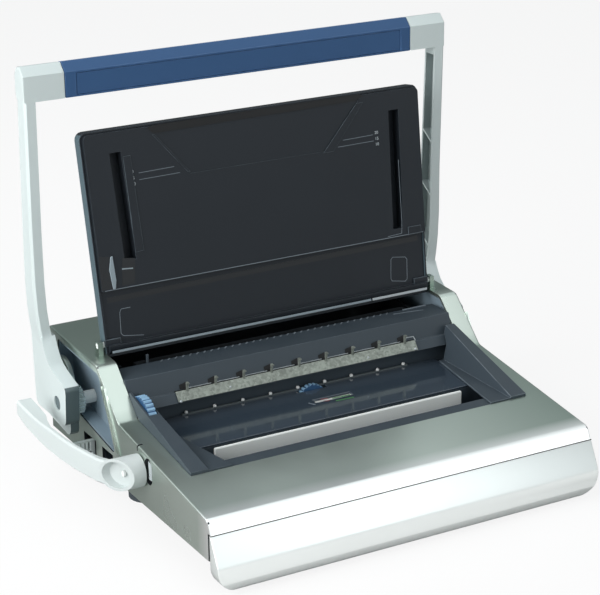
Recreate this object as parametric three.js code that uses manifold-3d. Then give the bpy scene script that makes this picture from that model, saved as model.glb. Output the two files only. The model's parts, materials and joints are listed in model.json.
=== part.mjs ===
// Desk wire binding machine, built as an assembly of separate pieces.
// Units are millimetres, +Z is up, +X is the user's right and the front faces -Y.
// Depths are measured back from the front face and heights up from the desk.

import * as THREE from 'three';
import { mergeVertices } from 'three/addons/utils/BufferGeometryUtils.js';
import Module from 'manifold-3d';

const wasm = await Module();
wasm.setup();

// Clearances and sheet thicknesses

const fitGap = 0.3;
const runGap = 0.8;
const overrun = 3;
const wall = 3;
const plate = 2;

// Casing, seen from the side

const bodyWidth = 441;
const bodyDepth = 392;
const sideBottom = 32;
const partingDepth = 7.3;
const partingHeight = 60.4;
const deckFrontDepth = 13;
const deckFrontHeight = 74.2;
const creaseDepth = 212.4;
const creaseHeight = 100.1;
const riserTopDepth = 260.5;
const riserTopHeight = 146.1;
const rearDeckHeight = 152;
const frontRound = 9;
const creaseRound = 9;
const riserRound = 12;
const rearRound = 9;
const sideEdgeRound = 2.4;

// Opening of the casing for the dark insert, and the bay behind it for the lid

const openingHalfWidth = 198;
const openingFront = 92;
const lidBayRear = 309;

// Recess around the handle gear in each side wall, and the openings below it

const recessFrontLow = 221;
const recessFrontTop = 256;
const recessRear = 362;
const recessSillFront = 62.5;
const recessSillRear = 82.5;
const recessTopFront = 138.5;
const recessTopRear = 144.5;
const recessSink = 16;
const recessRound = 4;
const recessNoseRound = 9;
const cupFlange = 5;
const cupRimSink = 1;
const ventTop = 59.5;
const ventHeight = 22;
const ventFront = 228;
const ventFrontLength = 27;
const ventRear = 271;
const ventRearLength = 31;

// Light trim ribs along the front of each recess

const ribTopDepth = 249.4;
const ribTopHeight = 128;
const ribLowDepth = 216;
const ribLowHeight = 66;
const ribStep = 7;
const ribCount = 2;
const ribWide = 2.4;
const ribProud = 1.5;

// Window for the dial and the small slit beside it, in the left wall

const dialDepth = 141;
const dialHeight = 75;
const dialRadius = 10;
const dialRise = 9.5;
const dialSink = 1.2;
const dialKnurl = 0.8;
const dialToothCount = 20;
const dialWindowHalf = 8;
const dialWindowRise = 14;
const slitDepth = 166;
const slitBottom = 88;
const slitLength = 10;
const slitWide = 2;

// Base pan, drawer and feet

const apronBottom = 5;
const apronBack = 10;
const apronNose = -7;
const apronNoseHeight = 32;
const apronChin = -3.5;
const apronChinHeight = 15;
const apronRound = 24;
const apronEdge = 1;
const apronNoseRound = 9;
const apronChinRound = 4;
const bayHalf = 150;
const bayRear = 300;
const panFloor = 6;
const trayTop = 50;
const trayRear = 262;
const footRadius = 15;
const footX = 130;
const footFront = 40;
const footRear = 280;
const sideFootRadius = 22;
const sideFootX = 176;
const sideFootDepth = 240;

// Guard beside each gear and the comb below each arm

const guardDepth = 343;
const guardHeight = 106;
const guardRadius = 25;
const guardThick = 5;
const guardRim = 8;
const guardDish = 2;
const guardTailRise = 10;
const combFront = 281;
const combThick = 4;
const combBottom = 44;
const combTop = 57;
const combOut = 245;
const combSlitCount = 5;
const combFrame = 2;

// Slot, punch and closing channel

const lipHeight = 84;
const lipRear = 110;
const channelFloor = 58;
const deckStart = 150;
const deckRear = 237;
const ledgeFront = 242;
const ledgeRear = 276;
const ledgeHeight = 132;
const slotOffset = 2;
const slotWide = 3.4;
const slotHalf = 162;
const slotBottom = 104;
const dieHalf = 166;
const dieRear = 290;
const dieBottom = 98;
const holeCount = 34;
const holePitch = 8.4;
const holeWide = 4.2;
const holeHeight = 116;
const punchBack = 295.4;
const punchThick = 8;
const punchRise = 6;
const punchEnd = 10;
const punchSetback = 1.2;

// Hook strip and pin rail

const stripFrontDepth = 223.3;
const stripFrontHeight = 104;
const stripRearDepth = 230.4;
const stripRearHeight = 113;
const stripHalf = 146;
const stripThick = 1.2;
const stripSeat = 1.8;
const stripLip = 1;
const stripShelf = 3.6;
const stripDrop = 4;
const hookCount = 9;
const hookPitch = 33.2;
const hookWide = 2.4;
const hookRise = 8.5;
const hookThick = 1.4;
const hookNose = 2.6;
const hookRoot = 1.6;
const pinPitch = 33.3;
const pinHead = 2;
const pinHeadRise = 2.4;
const pinRailDepth = 233.6;
const pinRailHalf = 138;
const pinRailWide = 2;
const pinRailThick = 1.2;
const pinRailLift = 0.1;

// Press bar, closing shaft and closing cams

const barDepth = 139;
const barThick = 4;
const barHalf = 147.3;
const barRound = 1.5;
const tabX = 110;
const tabHalf = 7;
const tabBottom = 62;
const tabTop = 68;
const leverDepth = 160;
const leverHeight = 70;
const closingShaftRadius = 6;
const closingShaftEnd = 130;
const closingCamRadius = 7.6;
const camThick = 10;

// Closing lever on the left side

const hubRadius = 17;
const hubFaceFront = 235;
const hubFaceRear = 258.5;
const hubBack = 221.6;
const hubCupSink = 9;
const hubCupWall = 3;
const screwRadius = 3.2;
const screwThick = 3;
const screwLift = 5.2;
const bladeStart = 167;
const bladeTip = 326;
const bladeBottom = 56.5;
const bladeRise = 42.4;
const bladeThick = 16;
const bladeOutStart = 253.5;
const bladeOutTip = 284.5;
const bladeEdge = 2;

// Side rails beside the deck

const railFront = 92;
const railRear = 236;
const railRidgeRear = 124;
const railRidgeFront = 87.4;
const railTopFront = 19;
const railTopRear = 11;
const railRunFront = 1;
const railRunRear = 8;
const flangeHalfFront = 152.5;
const flangeHalfRear = 175;
const flangeThick = 2;

// Thumb wheel of the edge guide, and the guide

const thumbX = 190;
const thumbHalf = 4.5;
const thumbDepth = 213;
const thumbHeight = 99.5;
const thumbRadius = 24;
const thumbKnurl = 1.3;
const thumbToothCount = 28;
const thumbCutRear = 20;
const axleRadius = 2.5;
const axleEndOut = 2;
const axleEndIn = 4;
const guideX = 153;
const guideThick = 2.4;
const guideFoot = 2;
const guideRise = 8;

// Gauge wheel in the deck, its window and its slide

const gaugeX = 13.5;
const gaugeDepth = 228.5;
const gaugeHeight = 72.5;
const gaugeRadius = 17;
const gaugeHalf = 3;
const gaugeKnurl = 1.1;
const gaugeToothCount = 22;
const gaugeAxleFront = 6;
const gaugeAxleRear = 4;
const windowX = 21;
const windowHalf = 23;
const windowFront = 191;
const windowRear = 200;
const slideOver = 6;
const trackOver = 16;

// Handle

const pivotDepth = 309;
const pivotHeight = 94;
const handleHalfTop = 251.5;
const handleHalfLow = 246;
const armWidth = 12.5;
const armFrontLow = 343.5;
const armFrontMiddle = 343;
const armFrontTop = 338;
const armRearLow = 371;
const armRearMiddle = 366;
const armRearTop = 358;
const armMiddleShare = 0.46;
const armLowHeight = 150;
const armSeat = 6;
const armChamfer = 2.5;
const armWeb = 3.2;
const armFlange = 2.6;
const armRibThick = 2.4;
const armRibReach = 25;
const armRibRise = 17;
const crossFront = 338;
const crossDepth = 23;
const crossBottom = 409.5;
const crossRise = 36;
const cornerBevel = 1.5;
const gripHalf = 205.8;
const gripInsetHalf = 193.2;
const gripInsetSink = 0.7;
const gripInsetThick = 3;
const gripInsetLow = 2;
const gripInsetRise = 22.2;
const tubeDepth = 350.6;
const tubeHeight = 425;
const tubeRadius = 6.5;
const tubeWall = 1.5;
const tubeSeat = 12;
const lobeFront = 284;
const lobeFrontLean = 4;
const lobeRear = 368;
const lobeNeckDepth = 331;
const lobeTopFront = 118;
const lobeTopRear = 131;
const lobeBottom = 74;
const lobeThick = 15.5;
const lobeRound = 8;
const lobeNeckRound = 36;
const lobeNoseRound = 7;
const blockBottom = 60;
const blockInset = 6;
const blockFront = 290;
const blockRear = 364;
const blockRearLow = 358;
const blockRearRise = 8;
const blockTop = 111;
const blockRound = 9;
const capRadius = 8;
const capSink = 3;
const capThick = 1.6;

// Drive shaft, gears and cams

const shaftRadius = 7;
const shaftHalf = 236;
const gearRadius = 15.8;
const gearToothDepth = 2.2;
const gearToothCount = 20;
const gearIn = 219.8;
const gearOut = 230.2;
const driveCamX = 100;
const driveCamRadius = 13.5;

// Inner frame plates that carry the shafts

const frameX = 177;
const frameThick = 3;
const frameFrontGap = 3;
const frameRear = 352;
const frameTop = 126;
const frameNeckDepth = 294;
const frameNeckHeight = 92;
const frameShoulderDepth = 246;
const frameShoulder = 78.5;

// Lid

const lidHingeDepth = 290;
const lidHingeHeight = 156;
const lidLeanDegrees = 8.5;
const lidThick = 18;
const lidFrontOffset = 9;
const lidUpperHalf = 203;
const lidLowerHalf = 197.7;
const lidDrop = 14;
const lidSkirtRound = 9;
const lidTop = 222;
const lidStep = 57;
const lidStepSink = 7;
const lidLipRise = -1;
const lidFootRound = 3;
const lidTopRound = 8;
const lidBevel = 1.2;
const lidShellStart = 5;
const lidShellWall = 2.4;
const lidPanelThick = 3;
const pocketTopX = 167;
const pocketLowX = 162;
const pocketWide = 13;
const pocketTop = 198;
const pocketLowLeft = 85;
const pocketLowRight = 66;
const fieldTopHalf = 127.6;
const fieldLowHalf = 84;
const fieldTop = 219;
const fieldLow = 164.5;
const fieldSink = 0.8;
const hingePinRadius = 3;
const hingePinIn = 182;
const tabIn = 201;
const tabOut = 206;
const tabReach = 4.8;
const tabCrown = 4.8;

// Shares of the sizes above that shape the outlines

const crossShares = [[0, 0], [0.87, 0], [1, 0.17], [1, 0.75], [0.74, 0.96], [0.39, 1], [0, 0.742]];
const bladeShares = [
  { along: 0, top: 0.63, low: 0.01, thick: 0.5 },
  { along: 0.1, top: 0.61, low: 0, thick: 0.4 },
  { along: 0.2, top: 0.61, low: 0, thick: 0.33 },
  { along: 0.35, top: 0.61, low: 0, thick: 0.3 },
  { along: 0.5, top: 0.65, low: 0.04, thick: 0.3 },
  { along: 0.65, top: 0.72, low: 0.12, thick: 0.32 },
  { along: 0.74, top: 0.75, low: 0.2, thick: 0.62 },
  { along: 0.8, top: 0.79, low: 0.27, thick: 0.88 },
  { along: 0.9, top: 0.88, low: 0.39, thick: 1 },
  { along: 1, top: 1, low: 0.6, thick: 1 },
];
const bladeBowShare = 0.75;
const channelRibShares = [0.13, 0.36, 0.6];
const channelShares = [0.02, 0.14, armMiddleShare, 0.965];
const armSwingShares = [[0, 0], [0.06, 0.42], [0.14, 0.8], [0.25, 1], [armMiddleShare, 1], [1, 1]];
const toothShares = [[0, 1], [0.3, 1], [0.45, 0], [0.85, 0]];
const sharpestShare = 0.35;

// Helpers for solids

function toSolid(geometry) {
  const bare = geometry.index ? geometry.toNonIndexed() : geometry.clone();
  bare.deleteAttribute('normal');
  bare.deleteAttribute('uv');
  const merged = mergeVertices(bare, 1e-4);
  const mesh = new wasm.Mesh({
    numProp: 3,
    vertProperties: new Float32Array(merged.attributes.position.array),
    triVerts: new Uint32Array(merged.index.array),
  });
  return new wasm.Manifold(mesh);
}

function toGeometry(solid) {
  const mesh = solid.getMesh();
  const geometry = new THREE.BufferGeometry();
  geometry.setAttribute('position', new THREE.BufferAttribute(new Float32Array(mesh.vertProperties), 3));
  geometry.setIndex(new THREE.BufferAttribute(new Uint32Array(mesh.triVerts), 1));
  return geometry;
}

function box(x0, x1, y0, y1, z0, z1) {
  const geometry = new THREE.BoxGeometry(x1 - x0, y1 - y0, z1 - z0);
  geometry.translate((x0 + x1) / 2, (y0 + y1) / 2, (z0 + z1) / 2);
  return toSolid(geometry);
}

function extrude(points, length, bevel) {
  const shape = new THREE.Shape(points.map((p) => new THREE.Vector2(p[0], p[1])));
  return new THREE.ExtrudeGeometry(shape, {
    depth: length - 2 * bevel,
    steps: 1,
    bevelEnabled: bevel > 0,
    bevelThickness: bevel,
    bevelSize: bevel,
    bevelOffset: -bevel,
    bevelSegments: 2,
  });
}

// Prisms along each axis. The outline is given as (y, z), (x, z) or (x, y).

function prismX(points, x0, x1, bevel = 0) {
  const geometry = extrude(points, x1 - x0, bevel);
  geometry.translate(0, 0, bevel);
  const axes = new THREE.Matrix4().makeBasis(
    new THREE.Vector3(0, 1, 0), new THREE.Vector3(0, 0, 1), new THREE.Vector3(1, 0, 0));
  geometry.applyMatrix4(axes);
  geometry.translate(x0, 0, 0);
  return toSolid(geometry);
}

function prismY(points, y0, y1, bevel = 0) {
  const geometry = extrude(points, y1 - y0, bevel);
  geometry.translate(0, 0, bevel);
  const axes = new THREE.Matrix4().makeBasis(
    new THREE.Vector3(1, 0, 0), new THREE.Vector3(0, 0, 1), new THREE.Vector3(0, -1, 0));
  geometry.applyMatrix4(axes);
  geometry.translate(0, y1, 0);
  return toSolid(geometry);
}

function prismZ(points, z0, z1, bevel = 0) {
  const geometry = extrude(points, z1 - z0, bevel);
  geometry.translate(0, 0, z0 + bevel);
  return toSolid(geometry);
}

function cylX(radius, x0, x1, y, z, segments = 24) {
  const geometry = new THREE.CylinderGeometry(radius, radius, x1 - x0, segments);
  geometry.rotateZ(-Math.PI / 2);
  geometry.translate((x0 + x1) / 2, y, z);
  return toSolid(geometry);
}

function cylY(radius, x, y0, y1, z, segments = 24) {
  const geometry = new THREE.CylinderGeometry(radius, radius, y1 - y0, segments);
  geometry.translate(x, (y0 + y1) / 2, z);
  return toSolid(geometry);
}

function cylZ(radius, x, y, z0, z1, segments = 24) {
  const geometry = new THREE.CylinderGeometry(radius, radius, z1 - z0, segments);
  geometry.rotateX(Math.PI / 2);
  geometry.translate(x, y, (z0 + z1) / 2);
  return toSolid(geometry);
}

// Ring along X: a cylinder with a bore.
function ringX(radius, bore, x0, x1, y, z) {
  return cylX(radius, x0, x1, y, z).subtract(cylX(bore, x0 - overrun, x1 + overrun, y, z, 20));
}

// Skin through a row of matching cross-sections, each a closed loop of points.
function loft(sections) {
  const count = sections[0].length;
  const positions = sections.flat(2);
  const faces = [];
  for (let s = 0; s + 1 < sections.length; s += 1) {
    for (let i = 0; i < count; i += 1) {
      const j = (i + 1) % count;
      const a = s * count + i;
      const b = s * count + j;
      const c = a + count;
      const d = b + count;
      faces.push(a, b, d, a, d, c);
    }
  }
  const last = (sections.length - 1) * count;
  for (let i = 1; i + 1 < count; i += 1) {
    faces.push(0, i + 1, i);
    faces.push(last, last + i, last + i + 1);
  }
  const geometry = new THREE.BufferGeometry();
  geometry.setAttribute('position', new THREE.Float32BufferAttribute(positions, 3));
  geometry.setIndex(faces);
  const solid = toSolid(geometry);
  if (solid.volume() > 0) return solid;
  const flipped = [];
  for (let i = 0; i < faces.length; i += 3) flipped.push(faces[i], faces[i + 2], faces[i + 1]);
  geometry.setIndex(flipped);
  return toSolid(geometry);
}

// Closed outline with its corners rounded by one radius, or by the radius given for each.
function rounded(corners, radii, steps = 4) {
  const out = [];
  const n = corners.length;
  corners.forEach((corner, i) => {
    const radius = Array.isArray(radii) ? radii[i] : radii;
    if (!radius) {
      out.push(corner);
      return;
    }
    const here = new THREE.Vector2(...corner);
    const before = new THREE.Vector2(...corners[(i + n - 1) % n]).sub(here).normalize();
    const after = new THREE.Vector2(...corners[(i + 1) % n]).sub(here).normalize();
    const half = Math.acos(THREE.MathUtils.clamp(before.dot(after), -1, 1)) / 2;
    const reach = radius / Math.tan(half);
    const middle = before.clone().add(after).normalize().multiplyScalar(radius / Math.sin(half)).add(here);
    const start = before.clone().multiplyScalar(reach).add(here).sub(middle);
    const end = after.clone().multiplyScalar(reach).add(here).sub(middle);
    const from = Math.atan2(start.y, start.x);
    let turn = Math.atan2(end.y, end.x) - from;
    if (turn > Math.PI) turn -= 2 * Math.PI;
    if (turn < -Math.PI) turn += 2 * Math.PI;
    for (let k = 0; k <= steps; k += 1) {
      const angle = from + (turn * k) / steps;
      out.push([middle.x + radius * Math.cos(angle), middle.y + radius * Math.sin(angle)]);
    }
  });
  return out;
}

// Outline moved inwards by the distance; the outline runs anticlockwise.
function inset(points, distance) {
  const n = points.length;
  return points.map((point, i) => {
    const a = new THREE.Vector2(...points[(i + n - 1) % n]);
    const b = new THREE.Vector2(...point);
    const c = new THREE.Vector2(...points[(i + 1) % n]);
    const d1 = b.clone().sub(a).normalize();
    const d2 = c.clone().sub(b).normalize();
    const n1 = new THREE.Vector2(-d1.y, d1.x);
    const n2 = new THREE.Vector2(-d2.y, d2.x);
    const mid = n1.clone().add(n2).normalize();
    const stretch = distance / Math.max(mid.dot(n1), sharpestShare);
    return [b.x + mid.x * stretch, b.y + mid.y * stretch];
  });
}

// Sheet of even thickness that follows an open line; the thickness lies on the right of the line.
function sheetOutline(line, thickness) {
  const back = line.map((point, i) => {
    const b = new THREE.Vector2(...point);
    const d1 = i > 0 ? b.clone().sub(new THREE.Vector2(...line[i - 1])).normalize() : null;
    const d2 = i + 1 < line.length ? new THREE.Vector2(...line[i + 1]).sub(b).normalize() : null;
    const u = d1 || d2;
    const v = d2 || d1;
    const n1 = new THREE.Vector2(u.y, -u.x);
    const n2 = new THREE.Vector2(v.y, -v.x);
    const mid = n1.clone().add(n2).normalize();
    const stretch = thickness / Math.max(mid.dot(n1), sharpestShare);
    return [b.x + mid.x * stretch, b.y + mid.y * stretch];
  });
  return [...line, ...back.reverse()];
}

// Toothed or knurled round outline about the point (u, v).
function gearOutline(radius, depth, toothCount, u, v) {
  const out = [];
  for (let i = 0; i < toothCount; i += 1) {
    toothShares.forEach(([turnShare, sinkShare]) => {
      const angle = ((i + turnShare) / toothCount) * 2 * Math.PI;
      const reach = radius - depth * sinkShare;
      out.push([u + reach * Math.cos(angle), v + reach * Math.sin(angle)]);
    });
  }
  return out;
}

function mix(a, b, share) {
  return a + (b - a) * share;
}

function mirrorX(solid) {
  return solid.mirror([1, 0, 0]);
}

// Box between two places measured outwards from the middle, on one side of it.
function sideBox(side, in0, out0, y0, y1, z0, z1) {
  return box(Math.min(side * in0, side * out0), Math.max(side * in0, side * out0), y0, y1, z0, z1);
}

const sides = [-1, 1];

// The group and the finishes of its pieces

const group = new THREE.Group();
group.name = 'wire_binding_machine';

function finish(color, roughness, metalness) {
  return () => new THREE.MeshStandardMaterial({ color, roughness, metalness });
}

const silverPaint = finish(0x9fa59c, 0.32, 0.25);
const armPaint = finish(0xb4bfbc, 0.34, 0.2);
const leverWhite = finish(0xdfe7e4, 0.35, 0);
const charcoal = finish(0x2b3038, 0.45, 0);
const darkGloss = finish(0x20242b, 0.12, 0);
const slate = finish(0x3c454f, 0.5, 0);
const blue = finish(0x2b4e78, 0.42, 0);
const lightBlue = finish(0x5a96c8, 0.4, 0);
const steel = finish(0xb9c0bd, 0.3, 0.9);
const dullSteel = finish(0x8b8d88, 0.5, 0.85);
const rubber = finish(0x1d1f22, 0.85, 0);
const pale = finish(0xe8e8e4, 0.5, 0);

function add(name, solid, makeFinish) {
  const mesh = new THREE.Mesh(toGeometry(solid), makeFinish());
  mesh.name = name;
  group.add(mesh);
}

function addPair(name, leftSolid, makeFinish) {
  add(`${name}_left`, leftSolid, makeFinish);
  add(`${name}_right`, mirrorX(leftSolid), makeFinish);
}

// Lines and levels shared by several pieces

const halfWidth = bodyWidth / 2;
const innerHalf = halfWidth - wall;
const rearSlope = (rearDeckHeight - riserTopHeight) / (bodyDepth - riserTopDepth);
const rearLevel = (y) => riserTopHeight + (y - riserTopDepth) * rearSlope;
const panLevel = sideBottom + fitGap;
const sheetTop = lipHeight - plate - fitGap;
const casingFront = apronBack + fitGap;
const skyHeight = crossBottom + crossRise;

// Upper casing: a shell with the front lip, the sloped deck, the riser and the rear deck

const outerProfile = rounded([
  [partingDepth, partingHeight + fitGap],
  [casingFront + wall, partingHeight + fitGap],
  [casingFront + wall, sideBottom],
  [bodyDepth, sideBottom],
  [bodyDepth, rearDeckHeight],
  [riserTopDepth, riserTopHeight],
  [creaseDepth, creaseHeight],
  [deckFrontDepth, deckFrontHeight],
], [0, 0, 0, 0, rearRound, riserRound, creaseRound, frontRound]);

const hollowCorners = [
  [casingFront + 2 * wall, partingHeight + fitGap + wall],
  [casingFront + 2 * wall, -wall],
  [bodyDepth - wall, -wall],
  [bodyDepth - wall, rearDeckHeight - wall],
  [riserTopDepth + wall / 2, riserTopHeight - wall],
  [creaseDepth + wall / 2, creaseHeight - wall],
  [deckFrontDepth + wall, deckFrontHeight - wall],
  [partingDepth + wall, partingHeight + wall],
];

const recessOutline = rounded([
  [recessFrontLow, recessSillFront],
  [recessRear, recessSillRear],
  [recessRear, recessTopRear],
  [recessFrontTop, recessTopFront],
], [recessRound, recessRound, recessRound, recessNoseRound], 3);

const leftCut = [-halfWidth - overrun, -innerHalf + overrun];

function recessCuts() {
  const [x0, x1] = leftCut;
  const window = prismX(recessOutline, x0, x1);
  const front = box(x0, x1, ventFront, ventFront + ventFrontLength, ventTop - ventHeight, ventTop);
  const rear = box(x0, x1, ventRear, ventRear + ventRearLength, ventTop - ventHeight, ventTop);
  const left = window.add(front).add(rear);
  return left.add(mirrorX(left));
}

function leftWallCuts() {
  const [x0, x1] = leftCut;
  const hub = cylX(closingShaftRadius + runGap, x0, x1, leverDepth, leverHeight, 20);
  const slit = box(x0, x1, slitDepth - slitWide / 2, slitDepth + slitWide / 2,
    slitBottom, slitBottom + slitLength);
  const window = prismX(rounded([
    [dialDepth - dialWindowHalf, dialHeight - dialWindowRise],
    [dialDepth + dialWindowHalf, dialHeight - dialWindowRise],
    [dialDepth + dialWindowHalf, dialHeight + dialWindowRise],
    [dialDepth - dialWindowHalf, dialHeight + dialWindowRise],
  ], dialWindowHalf - fitGap, 4), x0, x1);
  return hub.add(slit).add(window);
}

function trimRib(index) {
  const line = [
    [ribTopDepth - index * ribStep, ribTopHeight],
    [ribLowDepth - index * ribStep, ribLowHeight],
  ];
  return prismX(sheetOutline(line, ribWide), -halfWidth - ribProud, -halfWidth + wall / 2);
}

function casingSolid() {
  let body = prismX(outerProfile, -halfWidth, halfWidth, sideEdgeRound);
  body = body.subtract(prismX(hollowCorners, -innerHalf, innerHalf));
  body = body.subtract(box(-openingHalfWidth, openingHalfWidth, openingFront, lidBayRear,
    partingHeight, skyHeight));
  body = body.subtract(box(-bayHalf, bayHalf, casingFront, casingFront + 3 * wall, 0, trayTop + runGap));
  body = body.subtract(recessCuts()).subtract(leftWallCuts());
  for (let i = 0; i < ribCount; i += 1) {
    const rib = trimRib(i);
    body = body.add(rib).add(mirrorX(rib));
  }
  sides.forEach((side) => {
    body = body.add(sideBox(side, tabIn, tabOut, lidHingeDepth - tabReach, lidHingeDepth + tabReach,
      rearLevel(lidHingeDepth) - wall / 2, lidHingeHeight + tabCrown));
  });
  return body.subtract(cylX(hingePinRadius + fitGap, -tabOut - overrun, tabOut + overrun,
    lidHingeDepth, lidHingeHeight, 16));
}
add('upper_casing', casingSolid(), silverPaint);

// Base pan with the bay for the waste drawer, and its feet

const panFront = casingFront + 2 * wall + fitGap;
function panSolid() {
  const floor = box(-innerHalf + fitGap, innerHalf - fitGap, panFront, bodyDepth - wall - fitGap,
    panLevel, panLevel + plate);
  const bay = box(-bayHalf - wall, bayHalf + wall, panFront, bayRear + wall, panFloor, panLevel + plate / 2);
  return floor.add(bay).subtract(box(-bayHalf, bayHalf, 0, bayRear, panFloor + wall, panLevel + wall));
}
add('base_pan', panSolid(), charcoal);

addPair('front_foot', cylZ(footRadius, -footX, footFront, 0, panFloor - fitGap, 18), rubber);
addPair('rear_foot', cylZ(footRadius, -footX, footRear, 0, panFloor - fitGap, 18), rubber);
addPair('side_foot', cylZ(sideFootRadius, -sideFootX, sideFootDepth, 0, panLevel - fitGap, 24), rubber);

// Waste drawer: the front apron and the tray behind it

const apronOutline = rounded([
  [-halfWidth, apronBottom],
  [halfWidth, apronBottom],
  [halfWidth, partingHeight],
  [-halfWidth, partingHeight],
], [apronRound, apronRound, 0, 0], 6);
const apronProfile = rounded([
  [partingDepth, partingHeight],
  [apronNose, apronNoseHeight],
  [apronNose, apronChinHeight],
  [apronChin, apronBottom],
  [apronBack, apronBottom],
  [apronBack, partingHeight],
], [0, apronNoseRound, apronChinRound, apronChinRound, 0, 0], 4);
const apronBody = prismX(apronProfile, -halfWidth, halfWidth, apronEdge);
const apronFace = prismY(apronOutline, apronNose - overrun, apronBack + overrun);
add('drawer_front', apronBody.intersect(apronFace), silverPaint);

const trayHalf = bayHalf - runGap;
const trayBottom = panFloor + wall + runGap;
function traySolid() {
  const tray = box(-trayHalf, trayHalf, casingFront, trayRear, trayBottom, trayTop);
  return tray.subtract(box(-trayHalf + plate, trayHalf - plate, casingFront + plate, trayRear - plate,
    trayBottom + plate, trayTop + overrun));
}
add('drawer_tray', traySolid(), charcoal);

// Recess cups in the side walls, where the handle gears run

function cupSolid() {
  const inner = inset(recessOutline, fitGap);
  const floorX = -halfWidth + recessSink;
  const inside = prismX(inset(hollowCorners, fitGap), -innerHalf, innerHalf);
  const flange = prismX(inset(recessOutline, -cupFlange), -innerHalf + fitGap, -innerHalf + fitGap + plate)
    .intersect(inside);
  return prismX(inner, -halfWidth + cupRimSink, floorX + plate)
    .add(flange)
    .subtract(prismX(inset(inner, plate), -halfWidth, floorX))
    .subtract(cylX(shaftRadius + runGap, -halfWidth, -openingHalfWidth, pivotDepth, pivotHeight, 20));
}
addPair('recess_cup', cupSolid(), slate);

// Curved guard beside each gear, with a tail along the wall

function guardSolid() {
  const face = -halfWidth - guardThick;
  const back = -halfWidth - fitGap;
  const disc = cylX(guardRadius, face, back, guardDepth, guardHeight, 32);
  const dish = cylX(guardRadius - guardRim, face - overrun, face + guardDish, guardDepth, guardHeight, 28);
  const tailBottom = guardHeight - guardRadius + guardDish;
  const tail = box(face, back, guardDepth, bodyDepth - rearRound, tailBottom, tailBottom + guardTailRise);
  const swing = cylX(gearRadius + runGap, face - overrun, back + overrun, pivotDepth, pivotHeight, 32);
  return disc.subtract(dish).add(tail).subtract(swing);
}
addPair('gear_guard', guardSolid(), silverPaint);

// Comb of slits below each arm, rooted on the sill of the rear opening

function combSolid() {
  const sill = ventTop - ventHeight;
  const root = box(-halfWidth, -innerHalf, combFront, combFront + combThick, sill + fitGap, combTop);
  let comb = box(-combOut, -innerHalf, combFront, combFront + combThick, combBottom, combTop).add(root);
  const slot = (combOut - halfWidth) / (2 * combSlitCount + 1);
  for (let i = 0; i < combSlitCount; i += 1) {
    const x = -combOut + slot * (1 + 2 * i);
    comb = comb.subtract(box(x, x + slot, combFront - overrun, combFront + combThick + overrun,
      combBottom + combFrame, combTop - combFrame));
  }
  return comb;
}
addPair('vent_comb', combSolid(), armPaint);

// Dark insert: lip, closing channel, deck support, riser and ledge in one folded sheet

const insertHalf = openingHalfWidth - fitGap;
const gaugeCutHalf = gaugeRadius + runGap;
const gaugeCut = (z0, z1) => box(gaugeX - gaugeCutHalf, gaugeX + gaugeCutHalf,
  gaugeDepth - gaugeHalf - runGap, gaugeDepth + gaugeHalf + runGap, z0, z1);
const thumbCut = (rear) => box(-thumbX - thumbHalf - runGap, -thumbX + thumbHalf + runGap,
  thumbDepth - thumbRadius, rear, thumbHeight - thumbRadius - runGap, skyHeight);

function insertSolid() {
  const stripFoot = stripFrontHeight - stripLip * 1.5;
  const shelf = stripRearHeight - stripSeat;
  const line = [
    [openingFront + fitGap, lipHeight],
    [lipRear, lipHeight],
    [lipRear, channelFloor],
    [deckStart, channelFloor],
    [deckStart, sheetTop],
    [deckRear, sheetTop],
    [deckRear, stripFrontHeight - stripDrop],
    [stripFrontDepth + stripLip, stripFoot],
    [stripRearDepth + stripLip, shelf],
    [stripRearDepth + stripShelf, shelf],
    [ledgeFront, ledgeHeight],
    [ledgeRear, ledgeHeight],
    [ledgeRear, stripFrontHeight],
  ];
  let sheet = prismX(sheetOutline(line, plate), -insertHalf, insertHalf);
  sheet = sheet.subtract(thumbCut(thumbDepth + thumbRadius)).subtract(gaugeCut(channelFloor, lipHeight));
  sheet = sheet.subtract(box(windowX - windowHalf - trackOver, windowX + windowHalf + trackOver,
    windowFront - runGap, windowRear + runGap, channelFloor, lipHeight));
  sides.forEach((side) => {
    sheet = sheet.subtract(sideBox(side, tabX - tabHalf - runGap, tabX + tabHalf + runGap,
      deckStart - overrun, deckStart + plate + overrun, tabBottom - runGap, tabTop + runGap));
  });
  return sheet;
}
add('insert_deck', insertSolid(), charcoal);

function deckPlateSolid() {
  const top = lipHeight + overrun;
  const rear = deckRear - plate - fitGap;
  return box(-flangeHalfRear, flangeHalfRear, deckStart, rear, sheetTop + fitGap, lipHeight)
    .subtract(gaugeCut(sheetTop, top))
    .subtract(box(windowX - windowHalf, windowX + windowHalf, windowFront, windowRear, sheetTop, top));
}
add('deck_plate', deckPlateSolid(), darkGloss);

// Gauge wheel in the deck, its axle, and the slide that it moves along under the window

function gaugeWheelSolid() {
  const y0 = gaugeDepth - gaugeHalf;
  const y1 = gaugeDepth + gaugeHalf;
  return prismY(gearOutline(gaugeRadius, gaugeKnurl, gaugeToothCount, gaugeX, gaugeHeight), y0, y1)
    .subtract(cylY(axleRadius + fitGap, gaugeX, y0 - overrun, y1 + overrun, gaugeHeight, 16));
}
add('gauge_wheel', gaugeWheelSolid(), lightBlue);
add('gauge_axle', cylY(axleRadius, gaugeX, gaugeDepth - gaugeHalf - gaugeAxleFront,
  gaugeDepth + gaugeHalf + gaugeAxleRear, gaugeHeight, 16), steel);
add('gauge_slide', box(windowX - windowHalf - slideOver, windowX + windowHalf + slideOver,
  windowFront + fitGap, windowRear - fitGap, sheetTop - plate, sheetTop), pale);

// Side rails: a wedge along each side of the opening with a flange over the deck edge

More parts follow.
